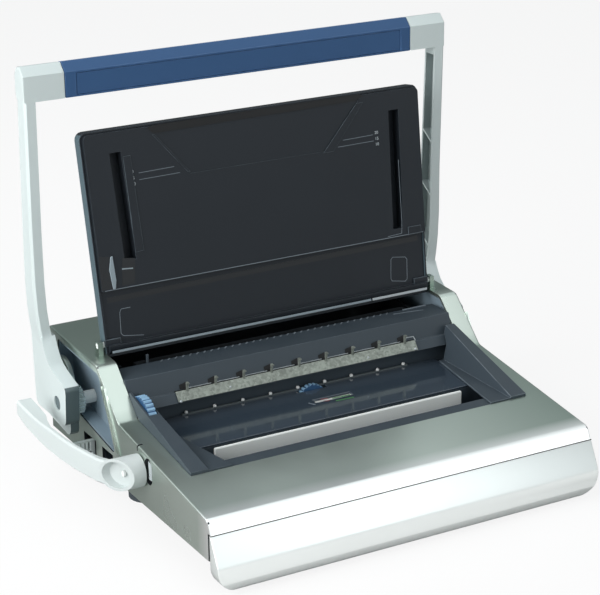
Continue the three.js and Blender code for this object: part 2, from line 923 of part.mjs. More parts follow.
function railSolid() {
  const outer = openingHalfWidth - fitGap;
  const seat = lipHeight + fitGap;
  const section = (y) => {
    const share = (y - railFront) / (railRear - railFront);
    const ridge = mix(railRidgeFront, railRidgeRear, share);
    const foot = -outer + mix(railTopFront, railTopRear, share);
    const inner = mix(flangeHalfFront, flangeHalfRear, share);
    return [
      [-outer, y, seat],
      [-inner, y, seat],
      [-inner, y, seat + flangeThick],
      [foot + mix(railRunFront, railRunRear, share), y, seat + flangeThick],
      [foot, y, ridge],
      [-outer, y, ridge],
    ];
  };
  const start = railFront + fitGap;
  return loft([section(start), section((start + railRear) / 2), section(railRear - plate - wall)]);
}

// Space behind the rails that belongs to the strip and its seat.
function stripSpace() {
  return prismX([
    [stripFrontDepth - runGap, channelFloor],
    [bodyDepth, channelFloor],
    [bodyDepth, stripRearHeight + runGap],
    [stripRearDepth + runGap, stripRearHeight + runGap],
    [stripFrontDepth - runGap, stripFrontHeight],
  ], -halfWidth, 0);
}
const plainRail = railSolid().subtract(stripSpace());
const thumbIn = -thumbX + thumbHalf;
const thumbOut = -thumbX - thumbHalf;
const railBore = cylX(axleRadius + fitGap, -halfWidth, thumbIn + axleEndIn + overrun,
  thumbDepth, thumbHeight, 16);
add('side_rail_left', plainRail.subtract(thumbCut(thumbDepth + thumbCutRear)).subtract(railBore), charcoal);
add('side_rail_right', mirrorX(plainRail), charcoal);

// Thumb wheel in the left rail, its axle, and the edge guide in the paper slot

const slotFront = ledgeRear + slotOffset;
const slotRear = slotFront + slotWide;
const thumbWheel = prismX(
  gearOutline(thumbRadius, thumbKnurl, thumbToothCount, thumbDepth, thumbHeight), thumbOut, thumbIn);
const thumbBore = cylX(axleRadius + fitGap, thumbOut - overrun, thumbIn + overrun,
  thumbDepth, thumbHeight, 16);
add('guide_wheel', thumbWheel.subtract(thumbBore), lightBlue);
add('guide_axle', cylX(axleRadius, thumbOut - axleEndOut, thumbIn + axleEndIn,
  thumbDepth, thumbHeight, 16), steel);
add('edge_guide', box(-guideX - guideThick, -guideX, slotFront + fitGap, slotRear - fitGap,
  slotBottom + guideFoot, ledgeHeight + guideRise), charcoal);

// Die block with the paper slot and the row of punch holes, and the punch bar behind it

const dieFront = ledgeRear + fitGap;
const dieTop = ledgeHeight - plate;
const holeX = (i) => (i - (holeCount - 1) / 2) * holePitch;
function dieSolid() {
  let die = box(-dieHalf, dieHalf, dieFront, dieRear, dieBottom, dieTop)
    .subtract(box(-slotHalf, slotHalf, slotFront, slotRear, slotBottom, dieTop + overrun));
  for (let i = 0; i < holeCount; i += 1) {
    die = die.subtract(box(holeX(i) - holeWide / 2, holeX(i) + holeWide / 2,
      dieFront - overrun, dieRear + overrun, holeHeight - holeWide / 2, holeHeight + holeWide / 2));
  }
  return die;
}
add('die_block', dieSolid(), dullSteel);

function punchSolid() {
  let bar = box(-slotHalf + punchEnd, slotHalf - punchEnd, punchBack, punchBack + punchThick,
    holeHeight - punchRise, holeHeight + punchRise);
  const half = holeWide / 2 - fitGap;
  for (let i = 0; i < holeCount; i += 1) {
    bar = bar.add(box(holeX(i) - half, holeX(i) + half, slotRear + punchSetback, punchBack + punchThick / 2,
      holeHeight - half, holeHeight + half));
  }
  return bar;
}
add('punch_bar', punchSolid(), steel);

// Hook strip: a sloping strip whose rear edge carries upright hooks

const rowX = (i, pitch) => (i - (hookCount - 1) / 2) * pitch;
function stripSolid() {
  const line = [[stripFrontDepth, stripFrontHeight], [stripRearDepth, stripRearHeight]];
  let strip = prismX(sheetOutline(line, stripThick), -stripHalf, stripHalf);
  const top = stripRearHeight + hookRise;
  for (let i = 0; i < hookCount; i += 1) {
    const x0 = rowX(i, hookPitch) - hookWide / 2;
    const x1 = x0 + hookWide;
    const stem = box(x0, x1, stripRearDepth - hookThick, stripRearDepth + fitGap,
      stripRearHeight - hookRoot, top);
    const nose = box(x0, x1, stripRearDepth - hookThick - hookNose, stripRearDepth, top - hookThick, top);
    strip = strip.add(stem).add(nose);
  }
  return strip;
}
add('hook_strip', stripSolid(), dullSteel);

// Pin rail: a thin rail with a row of round-headed pins

function pinRailSolid() {
  let rail = box(-pinRailHalf, pinRailHalf, pinRailDepth - pinRailWide / 2, pinRailDepth + pinRailWide / 2,
    lipHeight + pinRailLift, lipHeight + pinRailLift + pinRailThick);
  for (let i = 0; i < hookCount; i += 1) {
    const ball = new THREE.SphereGeometry(pinHead, 10, 6);
    ball.translate(rowX(i, pinPitch), pinRailDepth, lipHeight + pinHeadRise);
    rail = rail.add(toSolid(ball));
  }
  return rail;
}
add('pin_rail', pinRailSolid(), pale);

// Press bar that closes the wire, with two tabs reaching back through the channel wall

function pressBarSolid() {
  const face = rounded([
    [barDepth, channelFloor + plate + runGap],
    [barDepth + barThick, channelFloor + plate + runGap],
    [barDepth + barThick, lipHeight],
    [barDepth, lipHeight],
  ], [0, 0, barRound, barRound], 2);
  let bar = prismX(face, -barHalf, barHalf);
  const tabEnd = leverDepth - closingCamRadius - fitGap;
  sides.forEach((side) => {
    bar = bar.add(sideBox(side, tabX - tabHalf, tabX + tabHalf,
      barDepth + barThick / 2, tabEnd, tabBottom, tabTop));
  });
  return bar;
}
add('press_bar', pressBarSolid(), steel);

// Closing shaft behind the channel, with a cam behind each tab of the press bar

const closingShaftOut = hubFaceFront - hubCupSink;
add('closing_shaft', cylX(closingShaftRadius, -closingShaftOut, closingShaftEnd,
  leverDepth, leverHeight, 20), steel);
addPair('closing_cam', ringX(closingCamRadius, closingShaftRadius + fitGap, -tabX - camThick / 2,
  -tabX + camThick / 2, leverDepth, leverHeight), dullSteel);

// Closing lever: a hub cut at a slant and a broad blade that bows outwards to the rear

function hubSlant(lift) {
  const slant = (hubFaceRear - hubFaceFront) / 2;
  const front = leverDepth - 2 * hubRadius;
  const rear = leverDepth + 2 * hubRadius;
  return prismZ([
    [-hubFaceFront - lift + slant, front],
    [-hubFaceRear - lift - slant, rear],
    [-hubFaceRear - bodyWidth, rear],
    [-hubFaceRear - bodyWidth, front],
  ], 0, skyHeight);
}

function bladeSolid() {
  return loft(bladeShares.map(({ along, top, low, thick }) => {
    const y = mix(bladeStart, bladeTip, along);
    const bow = Math.sqrt(along * along * bladeBowShare + along * (1 - bladeBowShare));
    const out = mix(bladeOutStart, bladeOutTip, bow);
    const z0 = bladeBottom + low * bladeRise;
    const z1 = bladeBottom + top * bladeRise;
    const inner = -out + thick * bladeThick;
    return [
      [-out, y, z0 + bladeEdge],
      [-out + bladeEdge, y, z0],
      [inner, y, z0 + bladeEdge / 2],
      [inner, y, z1],
      [-out + bladeEdge, y, z1],
      [-out, y, z1 - bladeEdge],
    ];
  }));
}

const screwFace = hubFaceFront + screwLift;
function leverSolid() {
  const round = (radius, x0, x1, segments) => cylX(radius, x0, x1, leverDepth, leverHeight, segments);
  const hub = round(hubRadius, -hubFaceRear - overrun, -hubBack, 32).subtract(hubSlant(0));
  const cup = round(hubRadius - hubCupWall, -hubFaceRear - overrun, -hubBack, 28)
    .intersect(hubSlant(-hubCupSink));
  const bore = round(closingShaftRadius + fitGap, -closingShaftOut - fitGap, -innerHalf, 20);
  const seat = round(screwRadius + fitGap, -hubFaceRear, -screwFace + screwThick + fitGap, 16);
  const clear = round(hubRadius - hubCupWall / 2, -handleHalfTop - bodyWidth, -hubBack + overrun, 32);
  return hub.subtract(cup).add(bladeSolid().subtract(clear)).subtract(bore).subtract(seat);
}
add('closing_lever', leverSolid(), leverWhite);
add('lever_screw', cylX(screwRadius, -screwFace, -screwFace + screwThick,
  leverDepth, leverHeight, 16), steel);

// Knurled dial behind the window in the left wall, on its post

const dialX = -halfWidth + dialSink + dialRadius;
const dialSolid = prismZ(gearOutline(dialRadius, dialKnurl, dialToothCount, dialX, dialDepth),
  dialHeight - dialRise, dialHeight + dialRise)
  .subtract(cylZ(axleRadius + fitGap, dialX, dialDepth, 0, skyHeight, 14));
add('gap_dial', dialSolid, slate);
add('dial_post', cylZ(axleRadius, dialX, dialDepth, panLevel + plate + fitGap,
  dialHeight + dialRise - dialSink, 14), steel);

// Inner frame plates that carry the shafts

function framePlate() {
  const front = deckStart + plate + frameFrontGap;
  const low = panLevel + plate + fitGap;
  const x0 = -frameX - frameThick - overrun;
  const x1 = -frameX + overrun;
  const notch = closingShaftRadius + fitGap;
  return prismX([
    [front, low],
    [frameRear, low],
    [frameRear, frameTop],
    [frameNeckDepth, frameTop],
    [frameNeckDepth, frameNeckHeight],
    [frameShoulderDepth, frameShoulder],
    [front, frameShoulder],
  ], -frameX - frameThick, -frameX)
    .subtract(cylX(shaftRadius + fitGap, x0, x1, pivotDepth, pivotHeight, 20))
    .subtract(cylX(notch, x0, x1, leverDepth, leverHeight, 20))
    .subtract(box(x0, x1, deckStart, leverDepth, leverHeight - notch, leverHeight + notch));
}
addPair('frame_plate', framePlate(), dullSteel);

// Drive shaft across the machine with its gears and cams

add('drive_shaft', cylX(shaftRadius, -shaftHalf, shaftHalf, pivotDepth, pivotHeight, 22), steel);
const gearSolid = prismX(gearOutline(gearRadius, gearToothDepth, gearToothCount, pivotDepth, pivotHeight),
  -gearOut, -gearIn)
  .subtract(cylX(shaftRadius + fitGap, -gearOut - overrun, -gearIn + overrun, pivotDepth, pivotHeight, 20));
addPair('handle_gear', gearSolid, silverPaint);
addPair('drive_cam', ringX(driveCamRadius, shaftRadius + fitGap, -driveCamX - camThick / 2,
  -driveCamX + camThick / 2, pivotDepth, pivotHeight), dullSteel);

// Handle arm: corner block, tapering arm with an open channel inside, and the lobe at the pivot

function armOut(share) {
  const next = Math.max(1, armSwingShares.findIndex(([height]) => height >= share));
  const [lowHeight, lowSwing] = armSwingShares[next - 1];
  const [height, swing] = armSwingShares[next];
  const reach = mix(lowSwing, swing, (share - lowHeight) / (height - lowHeight));
  return mix(handleHalfLow, handleHalfTop, reach);
}
const armLevel = (share) => mix(armLowHeight, crossBottom, share);
function armEdge(low, middle, top, share) {
  if (share < armMiddleShare) return mix(low, middle, share / armMiddleShare);
  return mix(middle, top, (share - armMiddleShare) / (1 - armMiddleShare));
}
const armFront = (share) => armEdge(armFrontLow, armFrontMiddle, armFrontTop, share);
const armRear = (share) => armEdge(armRearLow, armRearMiddle, armRearTop, share);
const crossOutline = crossShares.map(([y, z]) => [crossFront + y * crossDepth, crossBottom + z * crossRise]);

function armSection(share, z) {
  const out = armOut(share);
  const front = armFront(share);
  const rear = armRear(share);
  return [
    [-out + armChamfer, front, z],
    [-out, front + armChamfer, z],
    [-out, rear - armChamfer, z],
    [-out + armChamfer, rear, z],
    [-out + armWidth, rear, z],
    [-out + armWidth, front, z],
  ];
}

function channelSection(share) {
  const z = armLevel(share);
  const floor = -armOut(share) + armWeb;
  const open = -armOut(share) + armWidth + overrun;
  const front = armFront(share) + armFlange;
  const rear = armRear(share) - armFlange;
  return [[floor, front, z], [open, front, z], [open, rear, z], [floor, rear, z]];
}

function channelRib(share) {
  const y = (armFront(share) + armRear(share)) / 2;
  const z = armLevel(share);
  return prismX([
    [y - armRibReach, z - armRibRise],
    [y - armRibReach, z - armRibRise - armRibThick],
    [y + armRibReach, z + armRibRise - armRibThick],
    [y + armRibReach, z + armRibRise],
  ], -handleHalfTop, -handleHalfLow + armWidth + overrun);
}

function lobeSolid() {
  const outer = -handleHalfLow;
  const lobe = prismX(rounded([
    [lobeFront + lobeFrontLean, lobeBottom],
    [lobeRear, lobeBottom],
    [armRearLow, armLowHeight + armSeat],
    [armFrontLow, armLowHeight + armSeat],
    [lobeNeckDepth, lobeTopRear],
    [lobeFront, lobeTopFront],
  ], [lobeRound, lobeRound, 0, 0, lobeNeckRound, lobeNoseRound], 3), outer, outer + lobeThick);
  const block = prismX(rounded([
    [blockFront, blockBottom],
    [blockRearLow, blockBottom + blockRearRise],
    [blockRear, blockTop],
    [blockFront, blockTop],
  ], [blockRound, blockRound, blockRound / 2, blockRound / 2], 3), outer + blockInset, outer + lobeThick);
  return lobe.add(block);
}

function armSolid() {
  let channel = loft(channelShares.map(channelSection));
  channelRibShares.forEach((share) => {
    channel = channel.subtract(channelRib(share));
  });
  const sections = armSwingShares.map(([share]) => armSection(share, armLevel(share)));
  const arm = loft([...sections, armSection(1, crossBottom + armSeat)]);
  const corner = prismX(crossOutline, -handleHalfTop, -gripHalf - fitGap, cornerBevel);
  const shaftSeat = cylX(shaftRadius + fitGap, -shaftHalf - fitGap, -halfWidth, pivotDepth, pivotHeight, 20);
  const capSeat = cylX(capRadius, -handleHalfLow - overrun, -handleHalfLow + capSink,
    pivotDepth, pivotHeight, 24);
  const tubeEnd = -gripHalf - tubeSeat - fitGap;
  const socket = cylX(tubeRadius + fitGap, tubeEnd, -gripHalf + overrun, tubeDepth, tubeHeight, 20);
  const seats = shaftSeat.add(capSeat).add(socket);
  return arm.subtract(channel).add(corner).add(lobeSolid()).subtract(seats);
}
addPair('handle_arm', armSolid(), armPaint);

const capFace = -handleHalfLow + capSink - fitGap;
addPair('pivot_cap', cylX(capRadius - fitGap, capFace - capThick, capFace,
  pivotDepth, pivotHeight, 24), rubber);

// Grip across the top with its inset front panel and the tube inside

const insetBack = crossFront + gripInsetSink + gripInsetThick;
const insetLow = crossBottom + gripInsetLow;
const insetTop = insetLow + gripInsetRise;
const gripSolid = prismX(crossOutline, -gripHalf, gripHalf)
  .subtract(cylX(tubeRadius + fitGap, -gripHalf - overrun, gripHalf + overrun, tubeDepth, tubeHeight, 20))
  .subtract(box(-gripInsetHalf - fitGap, gripInsetHalf + fitGap, crossFront - overrun, insetBack + fitGap,
    insetLow - fitGap, insetTop + fitGap));
add('grip', gripSolid, blue);
add('grip_inset', box(-gripInsetHalf, gripInsetHalf, crossFront + gripInsetSink, insetBack,
  insetLow, insetTop), blue);
add('grip_tube', ringX(tubeRadius, tubeRadius - tubeWall, -gripHalf - tubeSeat, gripHalf + tubeSeat,
  tubeDepth, tubeHeight), steel);

// Lid: laid out upright along its own height, then leaned back about the hinge line

const lidFace = -lidFrontOffset;
const lidBack = lidFace + lidThick;

function leanBack(solid) {
  return solid.rotate([-lidLeanDegrees, 0, 0]).translate([0, lidHingeDepth, lidHingeHeight]);
}

function lidOutline(sink) {
  const right = [
    [lidLowerHalf, -lidDrop],
    [lidUpperHalf, lidTop],
  ];
  const left = right.map(([x, z]) => [-x, z]).reverse();
  const rightRounds = [lidFootRound, lidTopRound];
  const rounds = [...rightRounds, ...[...rightRounds].reverse()];
  const kept = rounds.map((radius) => (radius > sink + fitGap ? radius - sink : 0));
  return rounded(inset([...right, ...left], sink), kept, 4);
}

// Side outline of the whole lid, whose face rolls under along its lower edge.
function lidSkirt(sink) {
  const low = sink - lidDrop;
  const half = lidUpperHalf + overrun;
  return prismX(rounded([
    [lidFace, low],
    [lidBack, low],
    [lidBack, lidTop],
    [lidFace, lidTop],
  ], [lidSkirtRound, lidSkirtRound / 3, 0, 0], 4), -half, half);
}

function lidShellSolid() {
  const outer = prismY(lidOutline(0), lidFace + lidShellStart, lidBack, lidBevel);
  const inside = prismY(lidOutline(lidShellWall), lidFace, lidBack - lidShellWall)
    .intersect(lidSkirt(lidShellWall));
  return outer.intersect(lidSkirt(0)).subtract(inside);
}

function pocketOutline(side, low, margin) {
  const top = pocketTop + margin;
  const half = pocketWide / 2 + margin;
  const points = [
    [pocketLowX - half, low - margin],
    [pocketLowX + half, low - margin],
    [pocketTopX + half, top],
    [pocketTopX - half, top],
  ];
  return side > 0 ? points : points.map(([x, z]) => [-x, z]).reverse();
}

function lidPanelSolid() {
  const edge = lidShellWall + fitGap;
  const stepBack = lidFace + lidStepSink;
  const wide = (y0, y1, z0, z1) => box(-lidUpperHalf, lidUpperHalf, y0, y1, z0, z1);
  let panel = prismY(lidOutline(edge), lidFace, stepBack + lidPanelThick);
  const behind = prismY(lidOutline(edge + lidPanelThick), lidFace + lidPanelThick, lidBack)
    .subtract(wide(lidFace, lidBack, lidLipRise - lidPanelThick, lidStep + lidPanelThick));
  panel = panel.subtract(behind);
  panel = panel.subtract(wide(lidFace - overrun, stepBack, lidLipRise, lidStep));
  sides.forEach((side) => {
    const low = side < 0 ? pocketLowLeft : pocketLowRight;
    const cup = prismY(pocketOutline(side, low, plate), lidFace + lidPanelThick / 2,
      lidBack - lidShellWall - fitGap);
    const hole = prismY(pocketOutline(side, low, 0), lidFace - overrun, lidBack - lidShellWall - plate);
    panel = panel.add(cup).subtract(hole);
  });
  const field = [
    [-fieldLowHalf, fieldLow],
    [fieldLowHalf, fieldLow],
    [fieldTopHalf, fieldTop],
    [-fieldTopHalf, fieldTop],
  ];
  return panel.subtract(prismY(field, lidFace - overrun, lidFace + fieldSink)).intersect(lidSkirt(edge));
}

const pinBore = cylX(hingePinRadius + fitGap, -lidUpperHalf, fitGap - hingePinIn, 0, 0, 16);
const lidBore = pinBore.add(mirrorX(pinBore));
add('lid_shell', leanBack(lidShellSolid().subtract(lidBore)), slate);
add('lid_panel', leanBack(lidPanelSolid().subtract(lidBore)), charcoal);

// Hinge pins through the tabs into the lid's lower corners

addPair('hinge_pin', cylX(hingePinRadius, -tabOut, -hingePinIn, lidHingeDepth, lidHingeHeight, 16), steel);

// The origin is the middle of the footprint, at desk level

const bounds = new THREE.Box3().setFromObject(group);
const middle = bounds.getCenter(new THREE.Vector3());
group.position.set(-middle.x, -middle.y, -bounds.min.z);

export default group;
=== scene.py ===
import json
import math

import bpy
from mathutils import Matrix, Vector


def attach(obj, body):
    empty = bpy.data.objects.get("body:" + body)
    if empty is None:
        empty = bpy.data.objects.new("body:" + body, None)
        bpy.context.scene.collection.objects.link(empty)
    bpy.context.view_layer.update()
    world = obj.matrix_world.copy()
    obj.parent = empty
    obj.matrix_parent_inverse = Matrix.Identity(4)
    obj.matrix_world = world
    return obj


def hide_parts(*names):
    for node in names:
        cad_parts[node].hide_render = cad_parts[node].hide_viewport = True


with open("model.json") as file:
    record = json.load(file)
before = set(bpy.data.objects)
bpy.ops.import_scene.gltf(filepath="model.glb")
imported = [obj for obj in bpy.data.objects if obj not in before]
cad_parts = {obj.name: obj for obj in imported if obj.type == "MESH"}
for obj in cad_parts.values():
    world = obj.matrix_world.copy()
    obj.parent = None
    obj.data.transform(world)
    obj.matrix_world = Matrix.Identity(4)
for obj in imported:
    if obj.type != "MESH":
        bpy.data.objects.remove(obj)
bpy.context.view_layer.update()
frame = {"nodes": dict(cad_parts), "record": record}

# Places are given on the machine in millimetres: x from its middle to the right, y back from
# its front edge, z up from the desk. Only floor, light and tones use the frame's own metres.

MM = 0.001
SHIFT = Vector((16.5, -192.5, 0.0))
UP = Vector((0, 0, 1))
FRONT = Vector((0, -1, 0))


def at(x, y, z):
    return (Vector((x, y, z)) + SHIFT) * MM


# Camera, in the photograph's place

CAMERA_PLACE = at(-953.95, -1494.12, 886.75)
CAMERA_TARGET = at(-0.25, 225.61, 191.03)
CAMERA_ROLL = math.radians(-0.8)
CAMERA_LENS = 119.06
SENSOR_WIDTH = 36.0
CLIP_END = 20.0

forward = (CAMERA_TARGET - CAMERA_PLACE).normalized()
right = forward.cross(UP).normalized()
above = right.cross(forward)
across = right * math.cos(CAMERA_ROLL) + above * math.sin(CAMERA_ROLL)
upright = above * math.cos(CAMERA_ROLL) - right * math.sin(CAMERA_ROLL)
camera = bpy.data.objects.new("camera", bpy.data.cameras.new("camera"))
bpy.context.scene.collection.objects.link(camera)
camera.matrix_world = Matrix.Translation(CAMERA_PLACE) @ Matrix(
    (across, upright, -forward)).transposed().to_4x4()
camera.data.lens = CAMERA_LENS
camera.data.sensor_width = SENSOR_WIDTH
camera.data.sensor_fit = 'HORIZONTAL'
camera.data.clip_end = CLIP_END
bpy.context.scene.camera = camera
bpy.context.scene.view_settings.view_transform = 'Standard'


# Helpers for node trees

def fill(tree, made, inputs):
    """Sets or links a node's inputs. Each is named by its socket, or by _ and its number."""
    for key, value in inputs.items():
        socket = made.inputs[int(key[1:])] if key[0] == "_" else made.inputs[key.replace("_", " ")]
        if isinstance(value, bpy.types.NodeSocket):
            tree.links.new(value, socket)
        else:
            socket.default_value = value
    return made


def put(tree, kind, settings=None, **inputs):
    made = tree.nodes.new(kind)
    for key, value in (settings or {}).items():
        setattr(made, key, value)
    return fill(tree, made, inputs)


def placed_group(tree, group, **inputs):
    made = tree.nodes.new('ShaderNodeGroup')
    made.node_tree = group
    return fill(tree, made, inputs).outputs


def math_node(tree, how, a, b):
    return put(tree, 'ShaderNodeMath', {"operation": how}, _0=a, _1=b).outputs[0]


def times(tree, a, b):
    return math_node(tree, 'MULTIPLY', a, b)


def plus(tree, a, b):
    return math_node(tree, 'ADD', a, b)


def minus(tree, a, b):
    return math_node(tree, 'SUBTRACT', a, b)


def swing(tree, middle, pattern, amount):
    """The middle value, moved down and up by half the amount as a pattern runs from 0 to 1."""
    return plus(tree, middle, times(tree, minus(tree, pattern, 0.5), amount))


def mixed(tree, factor, a, b, how='MIX'):
    settings = {"data_type": 'RGBA', "blend_type": how}
    return put(tree, 'ShaderNodeMix', settings, _0=factor, _6=a, _7=b).outputs[2]


def toned(tree, colour, tone):
    shade = put(tree, 'ShaderNodeCombineColor', None, _0=tone, _1=tone, _2=tone).outputs[0]
    return mixed(tree, 1.0, colour, shade, 'MULTIPLY')


def ranged(tree, value, span, to_low=0.0, to_high=1.0):
    return put(tree, 'ShaderNodeMapRange', None, Value=value, From_Min=span[0], From_Max=span[1],
               To_Min=to_low, To_Max=to_high).outputs[0]


def object_place(tree, scale=(1, 1, 1)):
    where = put(tree, 'ShaderNodeTexCoord').outputs["Object"]
    return put(tree, 'ShaderNodeMapping', None, Vector=where, Scale=scale).outputs[0]


def parts_of(tree, vector):
    return put(tree, 'ShaderNodeSeparateXYZ', None, _0=vector).outputs


def noise(tree, where, scale, detail, roughness):
    return put(tree, 'ShaderNodeTexNoise', None, Vector=where, Scale=scale, Detail=detail,
               Roughness=roughness).outputs[0]


def group_tree(name, inputs, outputs):
    tree = bpy.data.node_groups.new(name, 'ShaderNodeTree')
    for label, kind, value in inputs:
        socket = tree.interface.new_socket(label, in_out='INPUT', socket_type='NodeSocket' + kind)
        socket.default_value = value
    for label, kind in outputs:
        tree.interface.new_socket(label, in_out='OUTPUT', socket_type='NodeSocket' + kind)
    return tree, tree.nodes.new('NodeGroupInput').outputs, tree.nodes.new('NodeGroupOutput').inputs


def give(tree, result, **values):
    for label, value in values.items():
        tree.links.new(value, result[label])
    return tree


def grey(value):
    return (value, value, value, 1.0)


def linear(red, green, blue):
    """A colour as it shows on a screen, from 0 to 255, as the light that it stands for."""
    def one(value):
        value /= 255.0
        return value / 12.92 if value <= 0.04045 else ((value + 0.055) / 1.055) ** 2.4
    return (one(red), one(green), one(blue), 1.0)


# Effects that several finishes share

FINISH = [("Colour", 'Color'), ("Roughness", 'Float')]
RAISED_FINISH = FINISH + [("Height", 'Float')]
GRAIN_SHARE = 0.6
RUB_SMOOTHING = 0.12
DUST_COLOUR = linear(200, 204, 205)
DUST_ROUGHENING = 2.0
STAIN_DEPTH = 0.22


def make_surface_shade():
    """Slow drifts of tone over a surface, and fine grain for its roughness and height."""
    tree, given, result = group_tree("surface_shade", [
        ("Colour", 'Color', grey(0.5)), ("Drift", 'Float', 0.05), ("Drift Scale", 'Float', 14.0),
        ("Grain Scale", 'Float', 1600.0), ("Roughness", 'Float', 0.5), ("Rough Drift", 'Float', 0.05)],
        RAISED_FINISH)
    where = object_place(tree)
    slow = noise(tree, where, given["Drift Scale"], 3.0, 0.55)
    grain = noise(tree, where, given["Grain Scale"], 1.5, 0.5)
    tone = swing(tree, 1.0, slow, given["Drift"])
    tone = swing(tree, tone, grain, times(tree, given["Drift"], GRAIN_SHARE))
    rough = swing(tree, given["Roughness"], slow, given["Rough Drift"])
    return give(tree, result, Colour=toned(tree, given["Colour"], tone), Roughness=rough, Height=grain)


def make_edge_wear_and_highlight():
    """Rounded edges, marked on each piece, made a little smoother in places and lighter, partly wear and
    partly a painted highlight along the edges.
    """
    tree, given, result = group_tree("edge_wear_and_highlight", [
        ("Colour", 'Color', grey(0.5)), ("Rubbed", 'Color', grey(0.7)), ("Roughness", 'Float', 0.5),
        ("Amount", 'Float', 0.4)], FINISH)
    edge = put(tree, 'ShaderNodeAttribute', {"attribute_name": "edge"}).outputs["Fac"]
    patch = ranged(tree, noise(tree, object_place(tree), 60.0, 4.0, 0.6), (0.35, 0.65), 0.25)
    rub = times(tree, times(tree, edge, patch), given["Amount"])
    return give(tree, result, Colour=mixed(tree, rub, given["Colour"], given["Rubbed"]),
                Roughness=minus(tree, given["Roughness"], times(tree, rub, RUB_SMOOTHING)))


def make_dust():
    """A thin film of dust on faces that look up."""
    tree, given, result = group_tree("dust_film", [
        ("Colour", 'Color', grey(0.2)), ("Roughness", 'Float', 0.4), ("Amount", 'Float', 0.06)], FINISH)
    facing = parts_of(tree, put(tree, 'ShaderNodeNewGeometry').outputs["Normal"])
    flat = ranged(tree, facing[2], (0.5, 1.0))
    cloud = ranged(tree, noise(tree, object_place(tree), 35.0, 6.0, 0.65), (0.35, 0.75))
    speck = ranged(tree, noise(tree, object_place(tree), 900.0, 2.0, 0.5), (0.62, 0.72))
    film = times(tree, flat, plus(tree, times(tree, cloud, 0.7), times(tree, speck, 0.9)))
    film = times(tree, film, given["Amount"])
    return give(tree, result, Colour=mixed(tree, film, given["Colour"], DUST_COLOUR),
                Roughness=plus(tree, given["Roughness"], times(tree, film, DUST_ROUGHENING)))


def make_brushing():
    """Fine lines along x, as a rolled and brushed sheet has."""
    tree, given, result = group_tree("brushing", [
        ("Colour", 'Color', grey(0.6)), ("Depth", 'Float', 0.2), ("Roughness", 'Float', 0.3)],
        RAISED_FINISH)
    lines = noise(tree, object_place(tree, (9, 1500, 1500)), 1.0, 3.0, 0.6)
    broad = noise(tree, object_place(tree, (3, 160, 160)), 1.0, 2.0, 0.5)
    both = plus(tree, times(tree, lines, 0.6), times(tree, broad, 0.4))
    tone = swing(tree, 1.0, both, given["Depth"])
    return give(tree, result, Colour=toned(tree, given["Colour"], tone),
                Roughness=swing(tree, given["Roughness"], both, 0.25), Height=lines)


def make_zinc():
    """The cloudy grain of zinc plating, with a few darker stains."""
    tree, given, result = group_tree("zinc_cloud", [
        ("Colour", 'Color', grey(0.5)), ("Depth", 'Float', 0.35), ("Roughness", 'Float', 0.4)],
        RAISED_FINISH)
    where = object_place(tree)
    cells = put(tree, 'ShaderNodeTexVoronoi', None, Vector=where, Scale=420.0).outputs["Color"]
    cell = put(tree, 'ShaderNodeSeparateColor', None, _0=cells).outputs[0]
    cloud = noise(tree, where, 110.0, 4.0, 0.65)
    stain = ranged(tree, noise(tree, where, 48.0, 3.0, 0.6), (0.55, 0.75))
    both = plus(tree, times(tree, cell, 0.35), times(tree, cloud, 0.65))
    tone = minus(tree, swing(tree, 1.0, both, given["Depth"]), times(tree, stain, STAIN_DEPTH))
    return give(tree, result, Colour=toned(tree, given["Colour"], tone),
                Roughness=swing(tree, given["Roughness"], cloud, 0.3), Height=both)


SHADE = make_surface_shade()
EDGE_WEAR_AND_HIGHLIGHT = make_edge_wear_and_highlight()
DUST = make_dust()
BRUSHING = make_brushing()
ZINC = make_zinc()


# Finishes

ROUGH_DRIFT = 0.16
# Pale tone of metal edges, partly wear and partly a painted highlight.
METAL_WEAR_AND_HIGHLIGHT_COLOUR = linear(225, 228, 228)
METAL_WEAR_AND_HIGHLIGHT = 0.4

# Spans of the frame, in metres, over which painted shade darkens the casing's paint at the deck's right
# and back and on the rear deck, and a painted highlight lightens its front lip
DECK_RIGHT = (0.05, 0.25)
DECK_BACK = (-0.14, 0.01)
RISER_FOOT = (0.03, 0.015)
REAR_DECK = (0.07, 0.085)
FRONT_LIP = (-0.158, -0.178)
RIGHT_SHARE = 0.95
BACK_SHARE = 0.6
LIP_PAINTED_HIGHLIGHT = linear(252, 252, 250)


def new_material(name, tint):
    material = bpy.data.materials.new(name)
    material.use_nodes = True
    material.diffuse_color = tint
    tree = material.node_tree
    return material, tree, tree.nodes["Principled BSDF"]


def wire_surface(tree, shader, colour, roughness, height=None, bump=0.0, distance=0.0002):
    tree.links.new(colour, shader.inputs["Base Color"])
    tree.links.new(roughness, shader.inputs["Roughness"])
    if height is not None:
        relief = put(tree, 'ShaderNodeBump', None, Height=height, Strength=bump, Distance=distance)
        tree.links.new(relief.outputs[0], shader.inputs["Normal"])


def casing_painted_light(tree, near_tone, painted_shade_tone):
    """Painted shade at the deck's right and back and on the rear deck, and a painted highlight on the
    front lip.
    """
    place = parts_of(tree, object_place(tree))
    ends = times(tree, ranged(tree, place[0], DECK_RIGHT), RIGHT_SHARE)
    back = times(tree, ranged(tree, place[1], DECK_BACK), BACK_SHARE)
    deck = times(tree, math_node(tree, 'MAXIMUM', ends, back), ranged(tree, place[1], RISER_FOOT))
    shaded = math_node(tree, 'MAXIMUM', deck, ranged(tree, place[1], REAR_DECK))
    colour = mixed(tree, shaded, near_tone, painted_shade_tone)
    return mixed(tree, ranged(tree, place[1], FRONT_LIP), colour, LIP_PAINTED_HIGHLIGHT)


